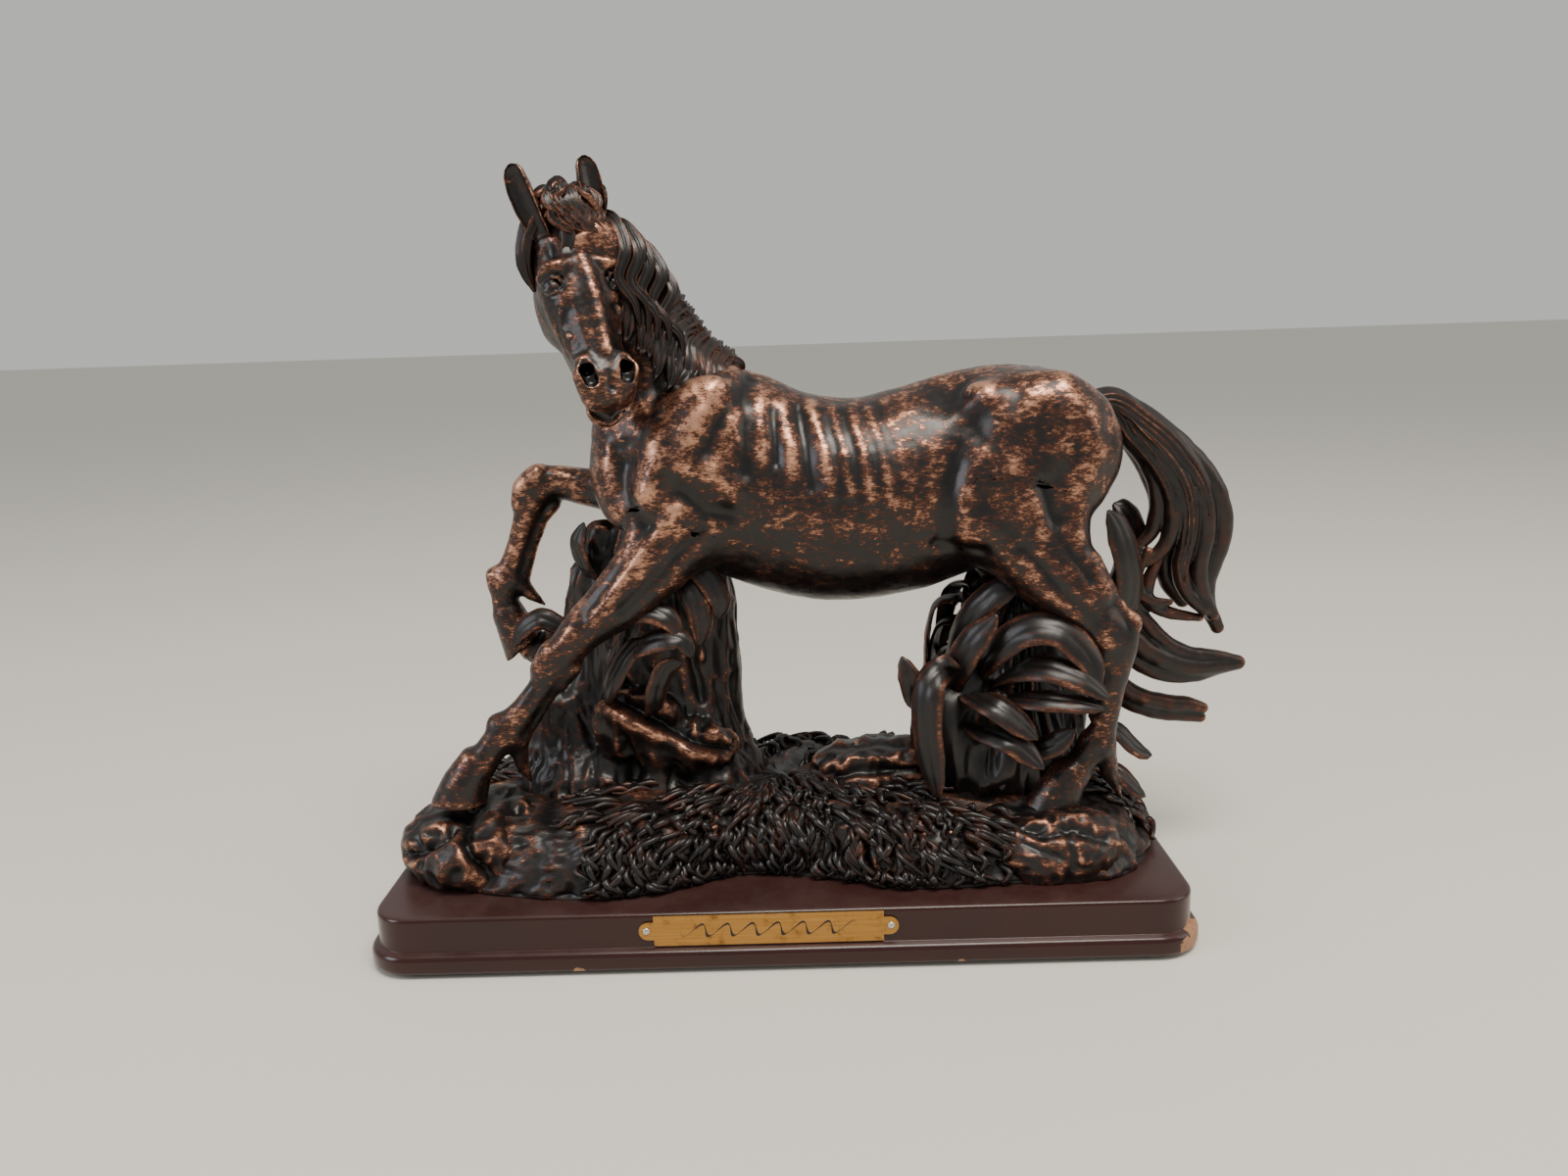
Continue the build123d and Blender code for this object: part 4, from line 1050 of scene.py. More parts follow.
# %% Tail
TAIL_UPPER = [  # (x, z) along each strand, y near its root and at its end, largest radius
    (
        [
            (101, 159), (108, 160), (115, 156), (126, 148), (135, 139.5), (141.5, 131), (145, 122),
            (145.5, 114), (143.5, 106), (141.5, 98), (142.5, 90), (146, 83)
        ],
        3, 6, 3.6
    ),
    (
        [
            (101, 158), (109, 158.5), (117, 153), (127, 144.5), (134, 135.5), (138.5, 126), (139.5, 115),
            (138, 105), (139, 96), (143, 88)
        ],
        1, 3, 3.4
    ),
    (
        [
            (101, 157), (108.3, 157), (117, 149.5), (126, 140.5), (131.5, 131), (133.5, 121.5), (133, 112),
            (131.5, 104), (134, 96), (140, 90)
        ],
        0.5, 2, 3.3
    ),
    (
        [
            (101, 156), (108.5, 155.5), (115, 147.5), (122, 139.5), (126.8, 131), (128.5, 122.5),
            (127.5, 114), (123.5, 108.5), (118, 105.5)
        ],
        1, 2.5, 3.1
    ),
    (
        [
            (101, 155), (108.5, 154), (113.5, 146.5), (118.8, 140), (122.8, 132), (124, 124), (122.8, 117),
            (119.5, 112.5), (115.5, 109.5)
        ],
        3, 4, 2.6
    ),
    (
        [
            (101, 157), (109, 158), (118, 152), (129, 142), (137, 130), (140, 118), (139, 106), (140, 96),
            (143, 88)
        ],
        8, 11, 4.0
    ),
    (
        [
            (101, 156), (109, 155.5), (116, 148.5), (125, 138.5), (131, 127), (132, 116), (129.5, 105),
            (131.5, 97), (136, 91)
        ],
        8, 12, 4.0
    ),
    (
        [(101, 155), (109, 154.5), (115, 146), (121.5, 136.5), (125.5, 126), (124.5, 116), (119.5, 110)], 7,
        10, 3.2
    ),
    ([(101, 157), (110, 156), (120, 148), (130, 137), (135, 124), (135, 111), (134, 101)], 5, 6.5, 4.4),
]
TAIL_SWEEP = [
    (
        [(119, 111), (116, 101), (118, 92), (122, 85.5), (129.5, 78), (137, 74.2), (145, 73.2), (153, 71.5)],
        4, 6, 2.8
    ),
    (
        [(116, 110), (112.5, 99), (113.5, 88), (119, 79), (128, 73), (137, 70.2), (146, 70), (153.5, 70.5)],
        3, 6, 3.7
    ),
    (
        [(113, 104), (110, 93), (111.5, 82), (118, 73.5), (128, 68), (138, 66.8), (146, 68.5), (152, 70)],
        5, 7, 3.1
    ),
    ([(117, 110), (114, 96), (117, 83), (128, 74.5), (140, 70.5), (151, 70)], 10, 10, 4.0),
    ([(125, 108), (121.5, 99), (122.5, 92.5), (130, 88.8), (139, 87)], 2.5, 3.5, 2.3),
    ([(121, 110), (117.5, 103), (118, 97), (123, 93.5), (128.5, 93)], 1.5, 1.5, 2.0),
]
TAIL_TIP = [
    ([(112, 78), (112, 68), (119, 60.5), (129, 56.8), (138, 55.6), (143.5, 54)], 8, 9, 3.0),
    ([(111, 76), (110.5, 66), (117, 58), (127, 53.5), (136, 52), (143, 50.5)], 11, 10, 3.2),
]


def tail_piece(name, node, strands, seed):
    """Rolls of clay along the strands with a sharp valley between each two, then scored on both sides."""
    block = Clay((94, -10, 36), (164, 26, 172), 0.5)
    scores = []
    for path, y0, y1, radius in strands:
        u = np.linspace(0, 1, len(path))[:, None]
        swell = np.interp(u, [0, 0.15, 0.45, 0.8, 1], [0.75, 0.95, 1, 0.88, 0.62]) * radius
        path = np.asarray(path, float)
        rows = np.hstack([path[:, :1], y0 + (y1 - y0) * u, path[:, 1:], swell])
        block.stroke(spline(rows, 5), k=0.8)
        fine = spline(path, 5)
        across = unit(np.gradient(fine, axis=0))[:, ::-1] * [1, -1]
        scores += [(fine + across * radius * share, 0.42, -0.42) for share in (-0.42, 0.0, 0.42)]
    points, faces = block.surface()
    for side in (-1, 1):
        points = relief(points, corner_normals(points, faces), scores, side)
    points = points + corner_normals(points, faces) * (0.16 * noise(points, 3.0, seed))[:, None]
    points = averaged(points, faces, 1)
    return wear_and_shade_piece(name, points, faces, proudness(points, faces, 2, 14) + 0.15, hair_bronze, [node])


tail_piece("tail_upper", "tail", TAIL_UPPER, 61)
tail_piece("tail_curl", "tail_sweep", TAIL_SWEEP, 62)
tail_piece("tail_tip", "tail_end", TAIL_TIP, 63)

# %% [markdown]
# ## The ground under the horse
#
# The ground is a low mound with a rock under the planted fore hoof, a stone at the near right, a layered
# stone in the middle, a tree stump that props up the barrel and a clump of broad leaves that carries the
# hind end and the tail. Stones are pressed from clay like the horse, then broken up: noise that is pushed
# through abs() gives sharp creases instead of soft dimples, and drawn lines cut the deep cracks.

# %% Stones and the mound
def crumbled(points, size, seed):
    """Sharp-creased noise from 0 to 1: one less |noise|, with its creases where noise crosses zero."""
    return 1 - np.abs(noise(points, size, seed)) * 1.6


def stone_piece(name, block, stands_for, lines, rough, seed):
    """Draws the clay's surface, roughens it, cuts the lines seen from the near side, and makes the piece."""
    points, faces = block.surface()
    normals = corner_normals(points, faces)
    amount, size = rough
    coarse = crumbled(points, size, seed) - 0.6 + 0.5 * (crumbled(points, size * 0.42, seed + 1) - 0.6)
    points = points + normals * (amount * coarse)[:, None]
    points = relief(points, normals, lines, -1)
    points = points + normals * (0.13 * noise(points, 1.6, seed + 2))[:, None]
    points = averaged(points, faces, 2)
    points[:, 2] = np.maximum(points[:, 2], DECK + 0.02)
    return wear_and_shade_piece(name, points, faces, proudness(points, faces, 4, 26), rock_bronze, stands_for)


OUTLINE = [  # shares of half the footprint (241 by 92 mm), anticlockwise from the left end
    (-1.00, -0.10), (-0.93, -0.70), (-0.62, -1.00), (-0.36, -1.00), (-0.12, -0.74), (0.10, -0.80),
    (0.32, -1.00), (0.60, -0.97),
    (0.86, -0.90), (0.99, -0.30), (0.95, 0.45), (0.72, 0.92), (0.20, 0.98), (-0.35, 0.96), (-0.80, 0.84),
    (-0.98, 0.40),
]
SLOPE = [
    (1.0, 0), (1.004, 1.6), (0.99, 4), (0.965, 8), (0.93, 12), (0.88, 15.5), (0.8, 18.0), (0.66, 19.6),
    (0.4, 20.4), (0.15, 20.6)
]


def mound(turn, rise):
    """The mound's skin: `turn` from 0 to 1 goes round the outline, `rise` from 0 to 1 up the slope and in.

    The outline is a closed smooth curve, and the slope gives, at each rise, the share of it and the height.
    """
    closed = np.array(OUTLINE[-2:] + OUTLINE + OUTLINE[:3])
    curve = spline(closed, 24)[48 : 48 + 24 * len(OUTLINE) + 1] * HALF_MOUND
    at = np.mod(turn, 1.0) * (len(curve) - 1)
    x = np.interp(at, np.arange(len(curve)), curve[:, 0])
    y = np.interp(at, np.arange(len(curve)), curve[:, 1])
    slope = np.asarray(SLOPE)
    step = np.linspace(0, 1, len(slope))
    share = np.interp(rise, step, slope[:, 0])
    height = np.interp(rise, step, slope[:, 1])
    swell = 1 + 0.10 * np.sin(x / 17.0) * (y < 0) + 0.06 * np.sin(x / 9.0 + 1)
    return np.stack([x * share, y * share, DECK + height * swell], -1)


turns, rises = 420, 60
i, j = np.meshgrid(np.arange(rises), np.arange(turns), indexing="ij")
mound_points = mound(j.ravel() / turns, i.ravel() / (rises - 1))
mound_quads, mound_caps = tube_faces(rises, turns)
mound_normals = corner_normals(mound_points, mound_quads)
bumps = 1.7 * (crumbled(mound_points, 8.0, 31) - 0.6) + 0.9 * (crumbled(mound_points, 3.2, 32) - 0.6)
mound_points += mound_normals * (bumps * (mound_points[:, 2] > DECK + 0.5))[:, None]
mound_points[:, 2] = np.maximum(mound_points[:, 2], DECK)
mound_wear_and_shade = proudness(mound_points, mound_quads, 3, 20)
ends = [[0, 0, DECK], mound_points[-turns:].mean(0)]
mound_points = np.concatenate([mound_points, ends])
mound_wear_and_shade = np.concatenate([mound_wear_and_shade, [0, 0]])
wear_and_shade_piece("ground_mound", mound_points, mound_quads, mound_wear_and_shade, rock_bronze, ["ground"], extra=mound_caps)

stone_pitch = 0.55
rock = Clay((-124, -48, 16), (-58, 22, 46), stone_pitch)
rock.blob((-94, -16, 24), (27.5, 24, 16.5), k=4)
rock.blob((-106, -22, 27), (15, 17, 10), k=5)
rock.blob((-96, -30, 26), (19, 14, 11.5), k=4)
rock.blob((-76, -27, 23), (13, 15, 9), k=4)
ROCK_CRACKS = [
    ([(-118, 27), (-109, 33), (-101, 37.5), (-92, 40.5), (-84, 43)], 1.7, -4.2),
    ([(-98, 38), (-94, 31), (-88, 21)], 1.7, -3.6),
    ([(-87, 41), (-81, 34), (-74, 25)], 1.4, -2.2), ([(-110, 32), (-112, 26)], 1.2, -1.5),
    ([(-96, 33), (-104, 25)], 2.6, 1.4),
    ([(-91, 39), (-84, 31), (-78, 27)], 2.6, 1.8),
]
stone_piece("rock_under_hoof", rock, ["hoof_rock"], ROCK_CRACKS, rough=(1.5, 9.0), seed=41)

stone = Clay((60, -56, 16), (110, -10, 42), stone_pitch)
stone.blob((86, -36, 24), (17.5, 11, 12.5), k=3)
stone.blob((76, -37, 24), (12, 9.5, 10.5), k=4)
stone.blob((95, -33, 25), (9, 9, 11), k=4)
STONE_LINES = [
    ([(70, 36), (78, 33), (88, 34), (99, 30)], 1.3, -1.6), ([(73, 31), (83, 27)], 1.1, -1.0),
    ([(68, 38), (80, 38), (92, 37)], 1.6, 1.3),
    ([(86, 36), (88, 27), (86, 20)], 1.2, -0.9),
]
stone_piece("near_stone", stone, ["front_stone"], STONE_LINES, rough=(0.9, 7.0), seed=51)

slab = Clay((6, -26, 26), (58, 18, 60), stone_pitch)
slab.blob((30, -2, 38), (22, 13, 13), k=3)
slab.blob((24, -11, 38), (13, 8, 9), k=3)
slab.blob((42, -6, 43), (10, 9, 9), k=3)
SLAB_LINES = [
    ([(12, 42), (24, 45), (36, 44), (50, 43)], 1.6, -2.6), ([(16, 49), (26, 50), (40, 51)], 1.4, -1.2),
    ([(14, 45), (24, 48), (38, 47)], 2.0, 1.3)
]
stone_piece("layered_stone", slab, ["flat_stone"], SLAB_LINES, rough=(1.2, 8.0), seed=61)

# %% [markdown]
# ### The stump
#
# Under the barrel stands a broken stump, wider at the foot, with folds of bark that run down it and spread
# into roots. Across its front goes one long ledge with a dark crack under it, the strongest line below the
# horse. A short arm reaches back under the raised hoof, which is how the mould held that thin leg.

# %% Stump
stump = Clay((-98, -26, 16), (6, 50, 134), stone_pitch * 1.4)
stump.limb([(-38, 11, 20, 30, 22), (-38, 11, 40, 27, 19), (-38, 12, 58, 25, 17),
            (-38, 12, 78, 25, 15.5), (-39, 12, 96, 25, 15),
            (-36, 10, 110, 21, 13), (-35, 8, 124, 16, 10)], k=3, cap=0.3)
stump.stroke([(-44, 14, 62, 12), (-62, 16, 72, 10.5), (-76, 18, 78, 8), (-84, 18, 80, 5)], k=6)
stump.stroke([(-60, 16, 70, 9), (-64, 14, 88, 8), (-62, 12, 104, 7), (-58, 12, 120, 4.5)], k=5)
for x, y, z, r in (
    (-60, -8, 30, 9), (-40, -13, 28, 10), (-20, -10, 28, 9), (-12, 8, 27, 9), (-66, 12, 28, 9),
    (-40, 32, 26, 9), (-18, 28, 26, 8)
):
    stump.stroke(
        [(x * 0.6 - 15, y * 0.4 + 7, 62, 5), (x * 0.85 - 5, y * 0.8 + 2, 42, 6.5), (x, y, z, r)], k=6
    )
stump.blob((-46, -9, 60), (15, 8, 12), k=5)
stump.blob((-30, -9, 52), (17, 8, 8), k=4)
stump.blob((-66, 2, 26), (24, 20, 24), k=8)
stump.blob((-74, 8, 46), (15, 13, 26), k=8)
stump.blob((-20, 2, 30), (16, 15, 16), k=7)
STUMP_LINES = [
    ([(-57, 75), (-46, 68), (-35, 61), (-24, 55), (-14, 51)], 2.0, -4.2),
    ([(-58, 69), (-46, 62), (-34, 56), (-22, 50)], 2.6, 2.4),
    ([(-16, 106), (-22, 88), (-19, 70), (-13, 56)], 1.8, -1.8),
    ([(-28, 118), (-31, 100), (-28, 82), (-25, 66)], 1.7, -1.8),
    ([(-42, 112), (-45, 96), (-50, 82)], 1.7, -1.7), ([(-66, 66), (-62, 52), (-60, 38)], 1.8, -1.6),
    ([(-50, 58), (-47, 45), (-50, 32)], 1.8, -1.7),
    ([(-34, 48), (-36, 38), (-34, 28)], 1.6, -1.4), ([(-22, 112), (-25, 94), (-23, 76)], 2.2, 1.5),
    ([(-36, 110), (-38, 92), (-40, 78)], 2.2, 1.5),
]
points, faces = stump.surface()
normals = corner_normals(points, faces)
bark = crumbled(points * [1, 1, 0.28], 5.0, 71) - 0.6 + 0.6 * (crumbled(points * [1, 1, 0.3], 2.3, 72) - 0.6)
points = points + normals * (1.25 * bark)[:, None]
points = relief(points, normals, STUMP_LINES, -1)
points = relief(points, normals, [([(x, z + 4) for x, z in p], w, h) for p, w, h in STUMP_LINES[2:]], 1)
points = averaged(points, faces, 1)
points[:, 2] = np.maximum(points[:, 2], DECK + 1)
wear_and_shade_piece("stump", points, faces, proudness(points, faces, 4, 26), rock_bronze, ["front_stump"])

# %% [markdown]
# ### Leaves and the rear clump
#
# Broad leaves, each with a channel along its middle and edges that catch the copper, curl out of the stump
# and hang all round the clump behind. The front ones follow paths measured on the side view. The rest are
# laid round the back with seeded differences, because the cast is carved all the way round.

# %% Rear clump and leaves
clump = Clay((36, -36, 22), (122, 44, 112), stone_pitch)
clump.limb(
    [
        (74, 2, 24, 30, 25), (76, 2, 42, 27, 22), (80, 3, 60, 23, 18), (85, 3, 78, 20, 14),
        (89, 4, 92, 15, 11), (91, 4, 103, 9, 7)
    ],
    k=3, cap=0.3
)
clump.blob((63, -4, 64), (13, 14, 21), k=6)
clump.blob((53, -13, 56), (10, 10, 16), k=6)
clump.blob((72, -12, 46), (20, 15, 18), k=6)
points, faces = clump.surface()
normals = corner_normals(points, faces)
turned = np.stack(
    [np.arctan2(points[:, 1] - 3, points[:, 0] - 80) * 22, points[:, 2] * 0.16, points[:, 2] * 0], 1
)
points = points + normals * (
    2.0 * (crumbled(turned, 4.5, 81) - 0.6) + 0.9 * (crumbled(turned, 2.0, 82) - 0.6)
)[:, None]
points = averaged(points, faces, 1)
points[:, 2] = np.maximum(points[:, 2], DECK + 2)
wear_and_shade_piece("leaf_clump", points, faces, proudness(points, faces, 4, 26) - 0.3, leaf_bronze, ["rear_clump"])

LEAF_TAPER = [(0, 0.45), (0.15, 0.8), (0.45, 1.05), (0.75, 0.95), (0.92, 0.55), (1, 0.1)]
LEAF_SECTION = {"cup": -0.16, "rib": 0.55, "steps": 34, "ring": 26}
REAR_LEAVES = [  # path, which way the blade faces, half width
    (
        [(60, -8, 74), (53, -22, 80), (46.5, -28, 76), (45.5, -30, 62), (47, -31, 50), (49, -31, 40)],
        (-0.5, -0.85, 0.1), 4.6
    ),
    ([(56, -4, 66), (50, -16, 70), (44, -22, 70), (41, -24, 78), (39, -22, 84)], (-0.2, -0.8, 0.5), 3.4),
    ([(60, -10, 66), (61, -24, 71), (66, -33, 71), (73, -36, 66), (78, -37, 61)], (0.1, -0.75, 0.65), 4.2),
    ([(68, -10, 70), (74, -24, 79), (82, -31, 82), (92, -35, 79), (100, -36, 72.5)], (0.1, -0.7, 0.7), 4.6),
    ([(66, -8, 62), (72, -24, 70), (80, -33, 72.5), (90, -36, 72), (98, -37, 70)], (0.1, -0.6, 0.8), 3.8),
    (
        [(62, -8, 70), (67, -22, 84), (76, -28, 93), (86, -31, 93), (94, -33, 85), (97.5, -34, 76)],
        (0, -0.75, 0.65), 5.0
    ),
    ([(60, -10, 58), (62, -26, 61), (69, -35, 61), (75, -37, 57), (80, -38, 52)], (0.1, -0.8, 0.6), 3.8),
    ([(74, -12, 54), (78, -28, 55), (84, -33, 58), (90, -34, 63)], (0, -0.8, 0.6), 3.4),
    (
        [(100, 4, 72), (108, -1, 84), (114, -4, 96), (113, -6, 108), (109.5, -6, 119), (106, -5, 125)],
        (0.45, -0.85, 0.1), 5.2
    ),
    (
        [(102, 12, 74), (111, 10, 88), (118, 8, 102), (118.5, 7, 114), (115, 7, 122), (111, 8, 125)],
        (0.5, -0.8, 0.1), 5.6
    ),
    ([(56, -4, 78), (60, -14, 92), (68, -18, 102), (77, -18, 106)], (-0.3, -0.8, 0.5), 4.4),
    ([(52, -6, 62), (55, -18, 76), (60, -24, 88), (68, -25, 97)], (-0.4, -0.8, 0.4), 4.6),
    ([(102, -6, 58), (108, -14, 56), (114, -16, 50), (119, -16, 47)], (0.2, -0.5, 0.8), 3.4),
    ([(100, -8, 46), (107, -18, 44), (112, -21, 39), (116, -21, 35)], (0.2, -0.6, 0.8), 3.0),
]
FRONT_LEAVES = [
    (
        [(-52, -4, 92), (-48, -15, 97), (-41, -21, 101), (-33, -23, 99), (-28.5, -23, 92)],
        (0, -0.75, 0.65), 3.8
    ),
    (
        [(-50, -4, 82), (-44, -18, 88), (-36, -23, 92), (-29, -24, 92), (-25.5, -24, 86)],
        (0.1, -0.75, 0.65), 3.6
    ),
    (
        [(-58, -4, 66), (-54, -16, 73), (-50, -19, 81), (-45, -19, 88), (-40, -18, 91)], (-0.5, -0.8, 0.2),
        3.2
    ),
    ([(-42, -8, 62), (-39, -18, 68), (-37, -21, 76), (-34, -21, 82), (-29, -21, 84)], (0.4, -0.9, 0), 3.2),
    (
        [(-32, -2, 116), (-26, -11, 114), (-20, -14, 108), (-17, -14, 101), (-18, -13, 95)],
        (0.3, -0.9, 0.2), 3.6
    ),
    (
        [(-34, -4, 110), (-28, -13, 108), (-24.5, -16, 102), (-23, -16, 94), (-24, -15, 87)],
        (0.3, -0.9, 0.2), 3.6
    ),
    (
        [(-40, -4, 104), (-42, -14, 108), (-46, -17, 104), (-50, -18, 96), (-52, -18, 88)],
        (-0.3, -0.9, 0.2), 3.4
    ),
    ([(-66, 10, 84), (-74, 9, 90), (-80, 9, 92), (-86, 10, 88), (-89, 11, 82)], (-0.3, -0.8, 0.5), 3.4),
    ([(-56, 8, 100), (-62, 3, 110), (-64, 2, 118), (-61, 3, 125)], (-0.7, -0.7, 0), 3.6),
]


def laid_leaves(count, centre, reach, top, seed, start, stop):
    """Leaves that leave the top of a mass, bulge over its side and end in an outward curl lower down."""
    rng = np.random.default_rng(seed)
    turn = np.radians(np.linspace(start, stop, count) + rng.uniform(-8, 8, count))
    away = np.stack([np.cos(turn), np.sin(turn), np.zeros(count)], 1)
    around = np.stack([-np.sin(turn), np.cos(turn), np.zeros(count)], 1)
    size = rng.uniform(0.75, 1.1, (count, 1))
    high = rng.uniform(top[0], top[1], (count, 1))
    lean = rng.uniform(-0.5, 0.5, (count, 1))
    middle = np.array([centre[0], centre[1], 0.0])
    stops = ((0.35, 0), (0.7, 9), (0.98, 7), (1.1, -5), (1.12, -17), (1.2, -26))
    path = [
        middle + away * reach * r + around * lean * (i * 3.5) + [0, 0, 1] * (high + drop * size)
        for i, (r, drop) in enumerate(stops)
    ]
    return np.stack(path, 1), unit(away + [0, 0, 0.45])


def leaf_set(rows):
    """Blades for rows of (path, facing, half width), cupped and channelled."""
    return [blades([p], [f], w * 1.12, 0.75, LEAF_TAPER, 5.0, 0.2, **LEAF_SECTION) for p, f, w in rows]


rear = leaf_set(REAR_LEAVES)
front_leaves = leaf_set(FRONT_LEAVES)
for count, centre, reach, top, seed, start, stop, half in (
    (11, (78, 4), np.array([26.0, 24, 1]), (78, 96), 5, 20, 165, 4.6),
    (9, (78, 4), np.array([29.0, 27, 1]), (56, 70), 6, 10, 170, 4.2),
    (5, (80, 2), np.array([27.0, 25, 1]), (52, 64), 9, 185, 240, 3.6),
):
    paths, facing = laid_leaves(count, centre, reach, top, seed, start, stop)
    rear.append(blades(paths, facing, half, 0.75, LEAF_TAPER, 5.0, 0.12, **LEAF_SECTION))
paths, facing = laid_leaves(7, (-38, 12), np.array([24.0, 17, 1]), (88, 112), 12, 25, 160)
front_leaves.append(blades(paths, facing, 3.8, 0.75, LEAF_TAPER, 5.0, 0.12, **LEAF_SECTION))
blade_piece("clump_leaves", rear, leaf_bronze, stands_for=["rear_leaves"])
blade_piece("stump_leaves", front_leaves, leaf_bronze, stands_for=["front_leaves"])

# %% [markdown]
# ### Grass
#
# The grass is combed down the slope in hundreds of short wavy tufts, each only a few faces, laid on the
# mound's own surface function so that they follow it exactly. Real turf stands up; this is a carver's
# shorthand, and what the eye reads is the rhythm of dark gaps and thin copper crests.

# %% Grass tufts laid on the mound
def grass(count, low, high, seed, length, width):
    """Tufts that start at a rise between low and high and run down the slope with an S-bend."""
    rng = np.random.default_rng(seed)
    start = rng.uniform(0, 1, count)
    rise = rng.uniform(low, high, count)
    pace = np.linalg.norm(mound(start, rise) - mound(start, rise - 0.04), axis=1) / 0.04
    reach = length * rng.uniform(0.7, 1.25, count) / pace
    wave = rng.uniform(0.5, 1.3, count) * rng.choice([-1, 1], count)
    drift = noise(
        np.stack([start * 60, rise * 8, 0 * rise], 1), 3.0, seed
    ) * 1.4 + rng.uniform(-0.3, 0.3, count)
    steps = np.linspace(0, 1, 6)
    points = []
    for t in steps:
        side = 0.0036 * wave * np.sin(t * 6.0) + 0.009 * drift * t
        spot = mound(start + side, np.clip(rise - reach * t, 0.02, 1))
        points.append(spot)
    paths = np.stack(points, 1)
    inner = mound(
        start, np.clip(rise - reach * 0.5 + 0.03, 0, 1)
    ) - mound(start, np.clip(rise - reach * 0.5 - 0.03, 0, 1))
    along = mound(start + 0.002, rise - reach * 0.5) - mound(start - 0.002, rise - reach * 0.5)
    out = unit(np.cross(along, inner))
    out = out * np.where((out[:, 2:] < 0), -1, 1)
    proud = rng.uniform(0.6, 2.0, (count, 1, 1))
    lift = np.array([-0.8, 0.7, 1.4, 1.1, 0.6, 1.3])[None, :, None] * proud
    paths = paths + out[:, None] * lift
    bare = (paths[:, 0, 0] < -60) & (paths[:, 0, 1] < 2) | (paths[:, 0, 0] > 66) & (paths[:, 0, 1] < -20)
    return paths[~bare], out[~bare], (width * rng.uniform(0.75, 1.3, count))[~bare]


GRASS_TAPER = [(0, 0.5), (0.3, 1.0), (0.7, 0.7), (1, 0.06)]
grass_parts = []
for count, low, high, seed, length, width in (
    (430, 0.66, 0.92, 1, 12, 1.25), (350, 0.46, 0.68, 2, 11, 1.2), (330, 0.26, 0.48, 3, 10, 1.15),
    (250, 0.12, 0.28, 4, 8, 1.1),
    (220, 0.88, 1.0, 5, 12, 1.2),
):
    paths, out, width = grass(count, low, high, seed, length, width)
    grass_parts.append(blades(paths, out, width, 1.3, GRASS_TAPER, 0, 0, steps=10, ring=5))
points, quads, tris, wear_and_shade = joined(grass_parts)
crest = noise(points, 5.0, 91) * 0.7 + 0.5 * noise(points, 1.7, 92)
wear_and_shade = np.clip(0.6 * crest + 0.7 * np.clip(wear_and_shade, 0, 1) - 0.1, -1, 1)
wear_and_shade_piece("grass", points, quads, wear_and_shade, grass_bronze, extra=tris)

# %% [markdown]
# ## The board, its felt, the plate and the fixings
#
# The board is turned over twice by the spindle: once for the round bead at its foot, once for the small
# round at its top edge. Its lacquer is oxblood over a dark stain, glossy on the sides where it is wiped and
# dull with dust on top. The brass plate is a stamped strip; what was engraved on it is left out, and a
# plain scroll line stands in its place.

# %% The plinth as one swept profile
def rounded_loop(half_x, half_y, radius, per_corner=14):
    """Points (x, y) and outward directions round a rectangle with round corners, anticlockwise."""
    turn = np.linspace(0, np.pi / 2, per_corner)
    angle = (turn[None] + np.arange(4)[:, None] * np.pi / 2).ravel()
    sx = np.repeat([1, -1, -1, 1], per_corner)
    sy = np.repeat([1, 1, -1, -1], per_corner)
    away = np.stack([np.cos(angle), np.sin(angle)], 1)
    return np.stack([sx * (half_x - radius), sy * (half_y - radius)], 1) + radius * away, away


def arc(cx, cy, radius, start, stop, count):
    """(inset, height) points on a circle between two angles in degrees."""
    a = np.radians(np.linspace(start, stop, count))
    return np.stack([cx - radius * np.cos(a), cy + radius * np.sin(a)], 1)


loop, away = rounded_loop(*HALF_BOARD, 14.5)
side_profile = np.concatenate([
    [[9, 1.0]], [[1.7, 1.0]], arc(1.6, 2.6, 1.6, -90, 0, 6), arc(2.2, 5.1, 2.2, 0, 84, 8),
    arc(2.5 - 0.35, 7.75, 0.35, 260, 180, 4), [[2.5, 11]], [[2.5, 15.8]], arc(3.9, 16.6, 1.4, 0, 90, 7),
    [[6.5, DECK]], [[14.4, DECK]],
])
rows = loop[None] - side_profile[:, :1, None] * away[None]
rows = np.concatenate([rows, np.broadcast_to(side_profile[:, 1:, None], rows.shape[:2] + (1,))], axis=2)
count, around = rows.shape[:2]
board_quads, board_caps = tube_faces(count, around)
board_points = np.concatenate([rows.reshape(-1, 3), [[0, 0, 1.0], [0, 0, DECK]]])
plinth = build_mesh("plinth_board", board_points, board_quads, board_caps)


